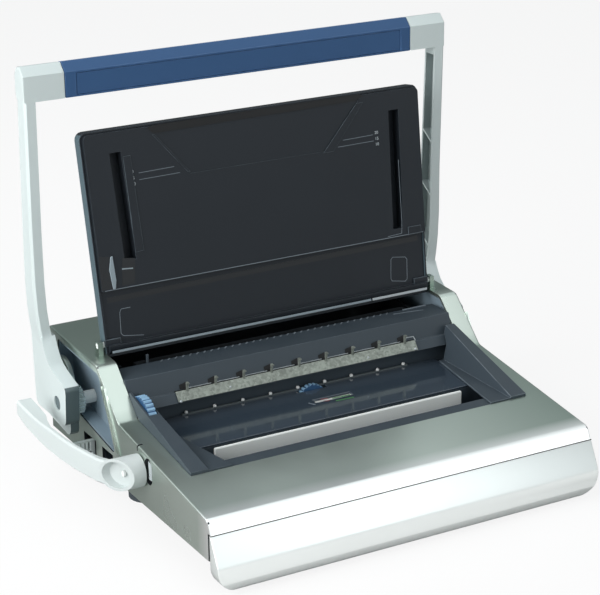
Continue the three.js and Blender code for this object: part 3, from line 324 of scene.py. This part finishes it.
def plastic(name, tint, roughness, drift=0.08, grain=1700.0, bump=0.25, dust=0.05, rub=0.35,
            coat=0.0, coat_roughness=0.1, metallic=0.0, drift_scale=14.0, rubbed=None,
            second=None, shine=0.5, painted_shade_tone=None):
    """With a second colour, faces marked in the inside attribute take that colour: unpainted plastic
    inside the casing, painted light on the lid's sides, painted shade on the arms' lobes and channels,
    painted highlights on pin heads and wheel rims, and the pale rims of the gap dial.
    """
    material, tree, shader = new_material(name, tint)
    shader.inputs["Specular IOR Level"].default_value = shine
    shader.inputs["Metallic"].default_value = metallic
    colour = casing_painted_light(tree, tint, painted_shade_tone) if painted_shade_tone else tint
    if second:
        second_share = put(tree, 'ShaderNodeAttribute', {"attribute_name": "inside"}).outputs["Fac"]
        colour = mixed(tree, second_share, colour, second)
        tree.links.new(times(tree, minus(tree, 1.0, second_share), metallic), shader.inputs["Metallic"])
    base = placed_group(tree, SHADE, Colour=colour, Drift=drift, Drift_Scale=drift_scale,
                        Grain_Scale=grain, Roughness=roughness, Rough_Drift=ROUGH_DRIFT)
    lighter = rubbed or tuple(min(1.0, part * 1.5 + 0.05) for part in tint[:3]) + (1.0,)
    worn_and_lit = placed_group(tree, EDGE_WEAR_AND_HIGHLIGHT, Colour=base["Colour"], Rubbed=lighter,
                        Roughness=base["Roughness"], Amount=rub)
    film = placed_group(tree, DUST, Colour=worn_and_lit["Colour"], Roughness=worn_and_lit["Roughness"], Amount=dust)
    wire_surface(tree, shader, film["Colour"], film["Roughness"], base["Height"], bump)
    shader.inputs["Coat Weight"].default_value = coat
    shader.inputs["Coat Roughness"].default_value = coat_roughness
    return material


def metal(name, tint, roughness, group, depth, bump, metallic=1.0):
    material, tree, shader = new_material(name, tint)
    base = placed_group(tree, group, Colour=tint, Depth=depth, Roughness=roughness)
    worn_and_lit = placed_group(tree, EDGE_WEAR_AND_HIGHLIGHT, Colour=base["Colour"], Rubbed=METAL_WEAR_AND_HIGHLIGHT_COLOUR,
                        Roughness=base["Roughness"], Amount=METAL_WEAR_AND_HIGHLIGHT)
    wire_surface(tree, shader, worn_and_lit["Colour"], worn_and_lit["Roughness"], base["Height"], bump, 0.0001)
    shader.inputs["Metallic"].default_value = metallic
    return material


def flat_look(name, tint):
    return plastic(name, tint, 0.5, drift=0.03, grain=1800.0, bump=0.05, dust=0.0, rub=0.0)


SILVER_TINT = linear(208, 218, 209)
PAINT = {"grain": 2600.0, "bump": 0.08, "dust": 0.02, "rub": 0.9, "coat": 0.3, "drift_scale": 6.0,
         "rubbed": linear(250, 252, 250)}
SILVER = {"roughness": 0.3, "drift": 0.04, "metallic": 0.88, "second": linear(46, 50, 54), **PAINT}

LOOKS = {
    "silver_paint": plastic("silver_paint", SILVER_TINT, **SILVER),
    # On the arms the second colour is painted shade on the lobe's front and in the channel.
    "arm_paint": plastic("arm_paint", linear(226, 237, 236), 0.4, drift=0.04, grain=2400.0, bump=0.1,
                         dust=0.02, rub=0.9, coat=0.2, coat_roughness=0.2, metallic=0.15, drift_scale=8.0,
                         rubbed=linear(248, 252, 251), second=linear(88, 104, 106)),
    "lever_white": plastic("lever_white", linear(214, 222, 221), 0.4, drift=0.03, grain=2200.0,
                           bump=0.08, dust=0.02, rub=0.3),
    "charcoal": plastic("charcoal", linear(62, 72, 80), 0.44, dust=0.03, rub=0.8,
                        rubbed=linear(124, 134, 142), shine=0.3),
    "dark_gloss": plastic("dark_gloss", linear(58, 70, 82), 0.1, drift=0.05, grain=2600.0, bump=0.03,
                          dust=0.02, rub=0.2, coat=0.6, coat_roughness=0.04),
    "slate": plastic("slate", linear(130, 148, 160), 0.46, dust=0.04, rub=0.8,
                     rubbed=linear(160, 170, 178)),
    "grip_blue": plastic("grip_blue", linear(48, 88, 134), 0.46, drift=0.07, grain=1500.0, bump=0.3,
                         dust=0.03, rub=0.5),
    # The light blue second colour is a painted highlight on the rims of the wheels' ribs.
    "wheel_blue": plastic("wheel_blue", linear(44, 84, 124), 0.42, grain=1500.0, bump=0.2,
                          second=linear(150, 192, 222)),
    "steel": metal("steel", linear(248, 252, 249), 0.36, BRUSHING, 0.16, 0.08, metallic=0.0),
    "zinc_steel": metal("zinc_steel", linear(140, 146, 138), 0.46, ZINC, 1.3, 0.25, metallic=0.4),
    "rubber": plastic("rubber", linear(74, 82, 88), 0.62, drift=0.1, grain=1100.0, bump=0.4, dust=0.08,
                      rub=0.5, rubbed=linear(130, 140, 146)),
    "pale_plastic": plastic("pale_plastic", linear(236, 238, 234), 0.4, drift=0.04, grain=1800.0,
                            bump=0.1, dust=0.03, rub=0.2),
}
# The casing's paint, with painted shade on the deck and a painted highlight on the front lip.
CASING_LOOK = plastic("casing_paint", SILVER_TINT, painted_shade_tone=linear(144, 160, 150), **SILVER)
# The apron is the silver paint made near white and less metallic: painted light on the machine's front.
APRON_LIT_LOOK = plastic("apron_lit_paint", linear(246, 250, 248), 0.4, drift=0.03, metallic=0.6, **PAINT)
# The lid's second colour is painted light on its side faces, lit from the left; its pale edge tone is
# partly wear and partly a painted highlight on the rim.
LID_LOOK = plastic("lid_charcoal", linear(34, 39, 45), 0.42, grain=1900.0, bump=0.2, dust=0.01, rub=0.9,
                   rubbed=linear(104, 116, 124), second=linear(84, 102, 110), shine=0.3)
# A painted shadow: black sheets put where recesses and gaps lie in shade.
SHADOW_LOOK = plastic("shadow_black", linear(8, 9, 11), 0.7, drift=0.05, grain=1500.0, bump=0.1,
                    dust=0.0, rub=0.0)
WORKS_LOOK = metal("dark_works", linear(52, 56, 60), 0.55, ZINC, 0.4, 0.2)
# The near white second colour is a painted highlight on the pin heads.
PIN_LOOK = plastic("pin_steel", linear(96, 104, 106), 0.36, grain=1800.0, bump=0.1, dust=0.0, rub=0.2,
                   second=linear(246, 248, 246))
DIAL_LOOK = plastic("dial_ribs", linear(58, 70, 74), 0.4, grain=1800.0, bump=0.1, dust=0.0, rub=0.2,
                    second=linear(196, 206, 208))
COVER_LOOK = plastic("arm_cover", linear(98, 112, 116), 0.44, drift=0.06, grain=1800.0, bump=0.2,
                     dust=0.02, rub=0.5)
# Painted shade: a near black for shadows laid on the lid.
SHADE_LOOK = plastic("painted_shade", linear(20, 23, 27), 0.5, drift=0.05, grain=1800.0, bump=0.1,
                     dust=0.0, rub=0.2)
SEAM_LOOK = plastic("dark_seam", linear(48, 44, 40), 0.6, drift=0.05, grain=1800.0, bump=0.05,
                    dust=0.0, rub=0.0)
EDGE_LOOK = plastic("pale_edge", linear(150, 164, 172), 0.3, grain=1500.0, bump=0.05, dust=0.0, rub=0.2)
PALE_LOOK = flat_look("pale_marks_and_highlights", linear(196, 204, 208))
FAINT_LOOK = flat_look("faint_marks_and_highlights", linear(122, 132, 140))
GREEN_LOOK = flat_look("green_marks", linear(72, 128, 78))
RED_LOOK = flat_look("red_marks", linear(136, 70, 76))

SLOT_OF = {row["node"]: row["material_slot"] for row in frame["record"]["subparts"]}
BODY_OF = {node: body for body, nodes in frame["record"]["behaviour"]["bodies"].items() for node in nodes}
HIDDEN_WORKS = ["die_block", "punch_bar", "frame_plate_left", "frame_plate_right"]

for node_name, node_object in frame["nodes"].items():
    for place in node_object.material_slots:
        place.material = WORKS_LOOK if node_name in HIDDEN_WORKS else LOOKS[SLOT_OF[node_name]]


# Helpers for pieces

EDGE_WIDTH = 0.5
EDGE_STEPS = 2
WELD = 0.002 * MM
FLAT_ANGLE = math.radians(0.4)


def pick(piece):
    bpy.ops.object.select_all(action='DESELECT')
    piece.select_set(True)
    bpy.context.view_layer.objects.active = piece


def editing(piece):
    pick(piece)
    bpy.ops.object.mode_set(mode='EDIT')
    bpy.ops.mesh.select_all(action='SELECT')


def done():
    bpy.ops.object.mode_set(mode='OBJECT')


def apply_modifier(piece, kind, **settings):
    pick(piece)
    made = piece.modifiers.new(kind.lower(), kind)
    for key, value in settings.items():
        setattr(made, key, value)
    bpy.ops.object.modifier_apply(modifier=made.name)


def soften(piece, width, angle):
    """Rounds the edges sharper than the angle, and marks the rounded faces."""
    mesh = piece.data
    while len(mesh.materials) < 2:
        mesh.materials.append(None)
    for face in mesh.polygons:
        face.material_index = 0
    if width > 0:
        apply_modifier(piece, 'BEVEL', width=width * MM, segments=EDGE_STEPS, limit_method='ANGLE',
                       angle_limit=math.radians(angle), material=1, use_clamp_overlap=True,
                       harden_normals=False, miter_outer='MITER_ARC')
    mesh = piece.data
    marks = mesh.attributes.new("edge", 'FLOAT', 'FACE')
    for face in mesh.polygons:
        marks.data[face.index].value = float(face.material_index)
        face.material_index = 0
    mesh.materials.clear()


def finish(piece, body, slot, *nodes, width=EDGE_WIDTH, angle=30.0, smooth=35.0, look=None, flat=True):
    """Rounded edges, smooth faces, the finish, and the body that the piece moves with."""
    soften(piece, width, angle)
    pick(piece)
    bpy.ops.object.shade_smooth_by_angle(angle=math.radians(smooth))
    if flat:
        apply_modifier(piece, 'WEIGHTED_NORMAL', keep_sharp=True, weight=50)
    piece.data.materials.append(look or LOOKS[slot])
    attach(piece, body)
    if nodes:
        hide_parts(*nodes)
    return piece


# Frame parts that are shown with their own shape

# On these, faces joined around an opening would fold over it.
TRIANGLES_KEPT = {"deck_plate", "handle_arm_left", "handle_arm_right", "vent_comb_left"}


def copy_of_node(node, name):
    """A frame part's own shape as one clean mesh, to be worked on."""
    source = frame["nodes"][node]
    mesh = source.data.copy()
    mesh.transform(source.matrix_world)
    mesh.materials.clear()
    piece = bpy.data.objects.new(name, mesh)
    bpy.context.scene.collection.objects.link(piece)
    editing(piece)
    bpy.ops.mesh.remove_doubles(threshold=WELD)
    if node not in TRIANGLES_KEPT:
        bpy.ops.mesh.dissolve_limited(angle_limit=FLAT_ANGLE)
    done()
    return piece


def mark_second_colour(piece, test):
    marks = piece.data.attributes.new("inside", 'FLOAT', 'FACE')
    for face in piece.data.polygons:
        marks.data[face.index].value = float(test(face.center / MM - SHIFT, face.normal))


def dress(node, **settings):
    piece = copy_of_node(node, node + "_body")
    if node in FACE_MARKS:
        mark_second_colour(piece, FACE_MARKS[node])
    return finish(piece, BODY_OF[node], SLOT_OF[node], node, **settings)


CASING_TOP = [(7.3, 60.4), (13.0, 74.2), (212.4, 100.1), (260.5, 146.1), (392.0, 152.0)]
CASING_INNER_HALF = 219.2
CASING_INNER_FRONT = 11.5
CASING_INNER_REAR = 390.5
LIP_REAR = 30
LOBE_TOP = 150
LOBE_MIDDLE = 300
CHANNEL_TOP = 409
CHANNEL_FRONT = 349
CHANNEL_REAR = 352
CHANNEL_HALF_WIDTH = 242
CHANNEL_SHARE = 0.55
PIN_NECK = 85.6


def casing_level(y):
    """Height of the casing's top over a place along its depth."""
    for (y0, z0), (y1, z1) in zip(CASING_TOP, CASING_TOP[1:]):
        if y <= y1:
            return z0 + (z1 - z0) * (y - y0) / (y1 - y0)
    return CASING_TOP[-1][1]


def in_casing(spot, normal):
    """Behind the casing's outer skin, which is taken thicker where the front lip is round."""
    skin = 2.0 if spot.y < LIP_REAR else 1.0
    return (abs(spot.x) < CASING_INNER_HALF and CASING_INNER_FRONT < spot.y < CASING_INNER_REAR
            and spot.z < casing_level(spot.y) - skin)


def on_shaded_arm(spot, normal):
    """Painted shade on the lobe's front, and on the channel that is open towards the middle of the
    machine.
    """
    if spot.z < LOBE_TOP:
        return normal.y < -0.6 and spot.y < LOBE_MIDDLE
    inward = -normal.x if spot.x > 0 else normal.x
    wall = (normal.y > 0.5 and spot.y < CHANNEL_FRONT) or (normal.y < -0.5 and spot.y > CHANNEL_REAR)
    floor = inward > 0.5 and abs(spot.x) > CHANNEL_HALF_WIDTH
    return CHANNEL_SHARE * (spot.z < CHANNEL_TOP and (wall or floor))


# Painted light: the lid's side faces, lit from the left, take a lighter colour.
def on_lit_lid_side(spot, normal):
    return abs(normal.x) > 0.7


# Painted highlight: the pin heads take a near white colour.
def on_pin_head_highlight(spot, normal):
    return spot.z > PIN_NECK


def beyond(radius, **axle):
    """A test for the faces outside a radius around an axle, given by two of its coordinates."""
    def test(spot, normal):
        return math.hypot(*(getattr(spot, axis) - value for axis, value in axle.items())) > radius
    return test


FACE_MARKS = {
    "upper_casing": in_casing, "handle_arm_left": on_shaded_arm, "handle_arm_right": on_shaded_arm,
    "lid_shell": on_lit_lid_side, "pin_rail": on_pin_head_highlight, "gap_dial": beyond(9.3, x=-209.3, y=141.0),
    # The blue wheels' rib rims, outside these radii, take a painted highlight.
    "guide_wheel": beyond(23.3, y=213.0, z=99.5), "gauge_wheel": beyond(16.4, x=13.5, z=72.5)}
OWN_SETTINGS = {
    "drawer_front": {"look": APRON_LIT_LOOK, "angle": 45.0, "smooth": 50.0, "flat": False},
    "upper_casing": {"look": CASING_LOOK}, "gap_dial": {"look": DIAL_LOOK}, "pin_rail": {"look": PIN_LOOK},
    "lid_shell": {"look": LID_LOOK}, "lid_panel": {"look": LID_LOOK},
    "pivot_cap_left": {"look": COVER_LOOK}, "pivot_cap_right": {"look": COVER_LOOK}}
for node_name in [
        "upper_casing", "base_pan", "drawer_front", "recess_cup_left", "recess_cup_right",
        "gear_guard_left", "gear_guard_right", "vent_comb_left", "vent_comb_right",
        "insert_deck", "deck_plate", "gauge_wheel", "gauge_slide", "side_rail_left",
        "side_rail_right", "guide_wheel", "edge_guide", "hook_strip", "pin_rail", "press_bar",
        "closing_lever", "lever_screw", "gap_dial", "handle_gear_left", "handle_gear_right",
        "handle_arm_left", "handle_arm_right", "pivot_cap_left", "pivot_cap_right", "grip",
        "grip_inset", "lid_shell", "lid_panel", "front_foot_left", "front_foot_right",
        "rear_foot_left", "rear_foot_right", "side_foot_left", "side_foot_right"]:
    dress(node_name, **OWN_SETTINGS.get(node_name, {}))


# Flat shapes, thin bars and small numbers

def outline(points, depth):
    """A closed outline of points, thickened by the depth."""
    bpy.ops.object.select_all(action='DESELECT')
    bpy.ops.mesh.primitive_plane_add(size=MM, location=(0, 0, 0))
    made = bpy.context.object
    editing(made)
    bpy.ops.mesh.merge(type='CENTER')
    bpy.ops.transform.translate(value=points[0])
    for last, here in zip(points, points[1:]):
        bpy.ops.mesh.extrude_vertices_move(TRANSFORM_OT_translate={"value": here - last})
    bpy.ops.mesh.select_all(action='SELECT')
    bpy.ops.mesh.edge_face_add()
    bpy.ops.mesh.extrude_region_move(TRANSFORM_OT_translate={"value": depth})
    bpy.ops.mesh.select_all(action='SELECT')
    bpy.ops.mesh.normals_make_consistent(inside=False)
    done()
    return made


def bar(start, end, wide, face, thick):
    side = (end - start).cross(face).normalized() * (wide * MM / 2)
    return outline([start - side, end - side, end + side, start + side], face * (thick * MM))


def bars(points, wide, face, thick):
    return [bar(a, b, wide, face, thick) for a, b in zip(points, points[1:])]


def joined(name, pieces):
    bpy.ops.object.select_all(action='DESELECT')
    for piece in pieces:
        piece.select_set(True)
    bpy.context.view_layer.objects.active = pieces[0]
    if len(pieces) > 1:
        bpy.ops.object.join()
    pieces[0].name = name
    return pieces[0]


def number(text, place, size, turn, thick=0.15):
    """A plain number whose left foot is at the place, raised a little."""
    bpy.ops.object.select_all(action='DESELECT')
    bpy.ops.object.text_add(location=(0, 0, 0))
    made = bpy.context.object
    made.data.body = text
    made.data.size = size * MM
    made.data.extrude = thick * MM
    bpy.ops.object.convert(target='MESH')
    made = bpy.context.object
    made.data.transform(Matrix.Translation(place) @ turn)
    return made


# Marks, ledges and clips of the lid, with painted shadows and highlights, laid out on its own slanting
# face: x across, rise along it, and depth back from the plane of its hinge

LEAN = math.radians(8.5)
HINGE_DEPTH = 290
HINGE_HEIGHT = 156
LID_BODY = BODY_OF["lid_panel"]
LID_SLOT = SLOT_OF["lid_panel"]
LID_FACE = -9.0
ON_LID_FACE = -8.98
LOWER_PANEL = -2.0
ON_LOWER_PANEL = -2.02
IN_LOWER_PANEL = -1.9


def on_lid(x, rise, depth):
    return at(x, HINGE_DEPTH + rise * math.sin(LEAN) + depth * math.cos(LEAN),
              HINGE_HEIGHT + rise * math.cos(LEAN) - depth * math.sin(LEAN))


LID_OUT = (on_lid(0, 0, -1.0) - on_lid(0, 0, 0.0)).normalized()
LID_TURN = Matrix.Rotation(math.radians(90.0) - LEAN, 4, 'X')


def lid_plate(name, spots, look, thick=0.3, depth=ON_LID_FACE, width=0.0):
    made = outline([on_lid(x, rise, depth) for x, rise in spots], LID_OUT * (thick * MM))
    made.name = name
    return finish(made, LID_BODY, LID_SLOT, width=width, look=look)


def lid_lines(name, lines, wide, look, depth=ON_LID_FACE, thick=0.12):
    made = []
    for line in lines:
        made += bars([on_lid(x, rise, depth) for x, rise in line], wide, LID_OUT, thick)
    return finish(joined(name, made), LID_BODY, LID_SLOT, width=0, look=look)


# A painted shadow along the sunk field's top opening.
lid_plate("lid_top_slot_shadow", [(-129, 218.4), (-122, 211.6), (-33, 212.6), (51, 213), (120, 214),
                           (130, 218), (125, 220.5), (-123, 220)], SHADOW_LOOK)
lid_plate("lid_field_band", [(129.5, 211.5), (88, 163), (75, 163), (120.5, 211.1)],
          LID_LOOK, 0.6, LID_FACE, 0.3)
lid_plate("lid_field_rib", [(-121, 210.5), (-84.5, 166.5), (-87.5, 166.5), (-124, 210.5)],
          LID_LOOK, 0.5, LID_FACE, 0.25)
lid_plate("lid_pocket_frame", [(-159, 193), (-150.5, 193), (-146, 93), (-156, 92)],
          LID_LOOK, 0.9, LID_FACE, 0.4)
# Painted shade at the pocket's lower end and in the clip's recess.
lid_plate("lid_pocket_end_shade", [(-171.4, 88.8), (-157.0, 86.3), (-159.9, 60.3), (-174.4, 60.3)], SHADE_LOOK)
lid_plate("lid_clip_shade", [(-197.4, 94), (-184.6, 92), (-185.5, 58.5), (-197.4, 58.5)], SHADE_LOOK)
lid_plate("lid_clip", [(-184.6, 92.0), (-182.2, 92.7), (-180.7, 67.1), (-182.2, 58.2),
                       (-185.1, 58.3), (-187.2, 78.8)], EDGE_LOOK, 1.6, LID_FACE, 0.5)
lid_plate("lid_latch_ledge", [(174, 57.6), (191, 57.6), (191, 66), (174, 66)],
          LID_LOOK, 1.2, LID_FACE, 0.5)
for side_name, side in (("left", -1), ("right", 1)):
    lid_plate("lid_hinge_boss_" + side_name, [
        (side * 180, -1.5), (side * 198.5, -1.5), (side * 198.5, 5.5), (side * 180, 5.5)],
        LID_LOOK, 2.6, IN_LOWER_PANEL, 0.8)
# A painted shadow below the step.
lid_plate("lid_step_shade", [(-190, 48.8), (190, 53), (190, 47), (-190, 43)],
          SHADE_LOOK, 0.2, LOWER_PANEL)
lid_lines("lid_thin_lines", [
    [(-143, 173.4), (-102.6, 174.2)], [(-143, 166.4), (-96.5, 167)], [(139, 174.2), (100.8, 173.4)],
    [(139, 167.4), (93.9, 166.8)], [(147.9, 59.1), (165.9, 60.0), (167.2, 72.6), (168.6, 142.4)]],
    0.55, FAINT_LOOK)
# A painted highlight along the lid's rounded lower front edge, brightest at its right end.
lid_lines("lid_lower_edge_highlight", [[(-193, -7.6), (120, -7.6)]], 2.4, EDGE_LOOK, LID_FACE, 0.4)
lid_lines("lid_lower_edge_highlight_right", [[(122, -7.6), (193, -7.6)]], 2.6, PALE_LOOK, LID_FACE, 0.45)
# A painted highlight along the step's top edge.
lid_lines("lid_step_highlight", [[(-194, 57.4), (194, 57.4)]], 0.8, FAINT_LOOK)
lid_lines("lid_latch_mark", [[(-172.8, 77.4), (-160.5, 76.2)]], 1.3, EDGE_LOOK, -9.2)
lid_lines("lid_bare_frames", [
    [(-165, 34.5), (-175.5, 34.5), (-177.5, 31), (-178.5, 9), (-176, 6), (-153, 2.5)],
    [(156, 33.6), (172, 31.2), (174.2, 28.5), (172.6, 6), (170, 3.8), (153, 7), (151.6, 9.5),
     (153.4, 31), (156, 33.6)]], 0.6, FAINT_LOOK, ON_LOWER_PANEL)
NUMBER_SIZE = 4.6
LID_NUMBERS = [("20", -153.2, 174.2), ("15", -152.6, 167.6), ("10", -152.2, 161.4),
               ("20", 141.0, 174.6), ("15", 141.0, 168.0), ("10", 141.0, 161.8)]
finish(joined("lid_numbers", [number(text, on_lid(x, rise, LID_FACE), NUMBER_SIZE, LID_TURN)
                              for text, x, rise in LID_NUMBERS]),
       LID_BODY, LID_SLOT, width=0, look=PALE_LOOK)


# Seam of the deck, tick marks on the ledge, painted shadows of the notches behind the hooks,
# a painted highlight and shadow along the hook strip, rivets and gauge marks

CASING = BODY_OF["upper_casing"]
SEAM_HEIGHT = 60.85
LEDGE = 132.0
ON_LEDGE = 132.02
TICK_STEP = 8.4
HOOK_STEP = 33.2
RISER_FOOT_DEPTH = 234
RISER_FOOT_HEIGHT = 111.2
RISER_SLOPE = (8, 20.8)
ON_DECK_PLATE = 84.02


def raised(name, slot, made, look, width=0.0):
    return finish(joined(name, made), CASING, slot, width=width, look=look)


def on_riser(x, z, out=0.25):
    run, climb = RISER_SLOPE
    return at(x, RISER_FOOT_DEPTH + (z - RISER_FOOT_HEIGHT) * run / climb - out, z)


def notch_shadow(middle):
    return outline([on_riser(middle - 6.5, 117.2), on_riser(middle - 6.5, 113.2),
                    on_riser(middle + 1.5, 112.2), on_riser(middle + 1.5, 119.0)], FRONT * MM * 0.3)


def rivet(x, y, z, size):
    """A round head, half sunk into the strip."""
    bpy.ops.object.select_all(action='DESELECT')
    bpy.ops.mesh.primitive_uv_sphere_add(segments=14, ring_count=8, radius=size * MM, location=(0, 0, 0))
    made = bpy.context.object
    editing(made)
    bpy.ops.transform.translate(value=at(x, y, z))
    done()
    return made


def gauge_mark(x0, y0, x1, y1, wide):
    return bar(at(x0, y0, ON_DECK_PLATE), at(x1, y1, ON_DECK_PLATE), wide, UP, 0.08)


raised("deck_front_seam", "silver_paint", [
    bar(at(-220.5, 7.5, SEAM_HEIGHT), at(220.5, 7.5, SEAM_HEIGHT), 0.8, FRONT, 0.45)], SEAM_LOOK)
raised("ledge_ticks", "charcoal", [
    bar(at(-142 + step * TICK_STEP, 272.4, ON_LEDGE), at(-138.5 + step * TICK_STEP, 275.8, ON_LEDGE),
        1.5, UP, 0.25) for step in range(34)], FAINT_LOOK)
raised("ledge_lines", "charcoal", [
    bar(at(158, 274.4, LEDGE), at(188, 274.4, LEDGE), 2.4, UP, 0.8),
    bar(at(142, 268.6, LEDGE), at(178, 263.4, LEDGE), 1.2, UP, 0.4)], FAINT_LOOK, 0.3)
# Painted shade beside each hook, where notches lie in shadow.
raised("hook_notch_shadows", "charcoal", [notch_shadow((step - 4) * HOOK_STEP) for step in range(9)], SHADOW_LOOK)
# A painted highlight along the hook strip's top edge.
raised("strip_edge_highlight", "charcoal", [
    bar(on_riser(step * HOOK_STEP - 130, 112.9), on_riser(step * HOOK_STEP - 103, 112.9), 0.7, FRONT, 0.5)
    for step in range(8)], PALE_LOOK)
# A painted shadow line under the hook strip.
raised("strip_shade", "charcoal", [
    bar(on_riser(-146, 111.9), on_riser(146, 111.9), 1.1, FRONT, 0.3)], SHADOW_LOOK)
raised("strip_bracket", "charcoal", bars(
    [on_riser(136, 115.7), on_riser(147, 115.4), at(152.5, 230.5, 103)], 0.9, FRONT, 0.6), PALE_LOOK)
raised("strip_rivets", "zinc_steel", [
    rivet(-143.6, 223.0, 104.4, 1.5), rivet(-84.8, 225.5, 107.6, 1.1), rivet(83.0, 225.0, 106.8, 1.2),
    rivet(143.0, 224.0, 105.4, 1.3)], PALE_LOOK)
raised("gauge_marks_white", "dark_gloss", [
    gauge_mark(-9, 194.5, -5.0, 187.0, 1.8), gauge_mark(-1.0, 198, 3.0, 195, 0.8)], FAINT_LOOK)
raised("gauge_marks_red", "dark_gloss", [
    gauge_mark(7, 197, 14.5, 195, 2.0), gauge_mark(8, 190.5, 14, 189, 1.4)], RED_LOOK)
raised("gauge_marks_green", "dark_gloss", [
    gauge_mark(19, 192.6, 40.5, 191.8, 2.4), gauge_mark(19, 184.8, 40.5, 184.0, 2.4)], GREEN_LOOK)


# Floor and light

FLOOR_SIZE = 14.0
FLOOR_NEAR = (-0.195, -0.22)
FLOOR_FAR = (-0.8, -0.6)
FLOOR_SEEN_GLOW = 0.86
SKY_TINT = linear(238, 247, 250)
WINDOW_ROUND = (-0.3, -0.55)
WINDOW_RISE = (0.0, 0.15)
OVERHEAD = (0.68, 0.86)
WINDOW_LIGHT = 0.85
REAR_ROUND = (0.2, 0.5)
REAR_RISE = (0.47, 0.66)
REAR_LIGHT = 0.6


def make_floor():
    """Near white to the camera, with the shadow. Mirrors see it light in front of the machine."""
    bpy.ops.object.select_all(action='DESELECT')
    bpy.ops.mesh.primitive_plane_add(size=FLOOR_SIZE, location=(0, 0, 0))
    floor = bpy.context.object
    floor.name = "floor"
    material, tree, shader = new_material("pale_floor", grey(0.9))
    base = placed_group(tree, SHADE, Colour=grey(0.97), Drift=0.008, Drift_Scale=3.0,
                        Grain_Scale=300.0, Roughness=0.7, Rough_Drift=0.05)
    path = put(tree, 'ShaderNodeLightPath').outputs
    seen = path["Is Camera Ray"]
    back = parts_of(tree, object_place(tree))[1]
    front = times(tree, ranged(tree, back, FLOOR_NEAR), ranged(tree, back, FLOOR_FAR))
    colour = mixed(tree, seen, mixed(tree, front, grey(0.36), grey(0.8)), base["Colour"])
    wire_surface(tree, shader, colour, base["Roughness"])
    shader.inputs["Specular IOR Level"].default_value = 0.0
    glow = put(tree, 'ShaderNodeEmission', None, Color=grey(1.0), Strength=1.0)
    mirrored = times(tree, path["Is Glossy Ray"], front)
    lit = plus(tree, times(tree, seen, FLOOR_SEEN_GLOW), mirrored)
    both = put(tree, 'ShaderNodeMixShader', None, _0=lit, _1=shader.outputs[0], _2=glow.outputs[0])
    tree.links.new(both.outputs[0], tree.nodes["Material Output"].inputs[0])
    floor.data.materials.append(material)


def make_world():
    """A soft sky, brightest high up behind. Mirrors also see a window in front and a light ceiling."""
    world = bpy.data.worlds.new("studio")
    bpy.context.scene.world = world
    world.use_nodes = True
    tree = world.node_tree
    tree.nodes.clear()
    path = put(tree, 'ShaderNodeLightPath').outputs
    way = parts_of(tree, put(tree, 'ShaderNodeTexCoord').outputs["Generated"])
    strength = ranged(tree, way[1], (0.6, -0.6), 0.2, 0.27)
    rear = times(tree, ranged(tree, way[1], REAR_ROUND), ranged(tree, way[2], REAR_RISE))
    strength = plus(tree, strength, times(tree, rear, REAR_LIGHT))
    window = times(tree, ranged(tree, way[1], WINDOW_ROUND), ranged(tree, way[2], WINDOW_RISE))
    window = math_node(tree, 'MAXIMUM', window, ranged(tree, way[2], OVERHEAD))
    window = times(tree, window, path["Is Glossy Ray"])
    strength = plus(tree, strength, times(tree, window, WINDOW_LIGHT))
    soft = put(tree, 'ShaderNodeBackground', None, Color=SKY_TINT, Strength=strength)
    white = put(tree, 'ShaderNodeBackground', None, Color=grey(1.0), Strength=1.0)
    both = put(tree, 'ShaderNodeMixShader', None, _0=path["Is Camera Ray"], _1=soft.outputs[0],
               _2=white.outputs[0])
    put(tree, 'ShaderNodeOutputWorld', None, _0=both.outputs[0])


def add_lamp(name, place, target, size, power):
    lamp = bpy.data.objects.new(name, bpy.data.lights.new(name, 'AREA'))
    bpy.context.scene.collection.objects.link(lamp)
    lamp.data.shape = 'RECTANGLE'
    lamp.data.size, lamp.data.size_y = size
    lamp.data.energy = power
    lamp.matrix_world = Matrix.Translation(place) @ (Vector(target) - Vector(place)).to_track_quat(
        '-Z', 'Y').to_matrix().to_4x4()


make_floor()
make_world()
add_lamp("front_box", (1.1, -2.2, 1.35), (0, 0, 0.1), (2.1, 1.8), 9.0)
add_lamp("left_box", (-2.3, -0.35, 1.05), (0, 0, 0.2), (2.0, 1.8), 58.0)
add_lamp("top_box", (1.15, -0.8, 2.2), (0, 0, 0.1), (1.6, 1.6), 3.0)
add_lamp("over_box", (-1.0, 0.5, 2.2), (0, 0, 0.1), (2.2, 2.2), 16.0)
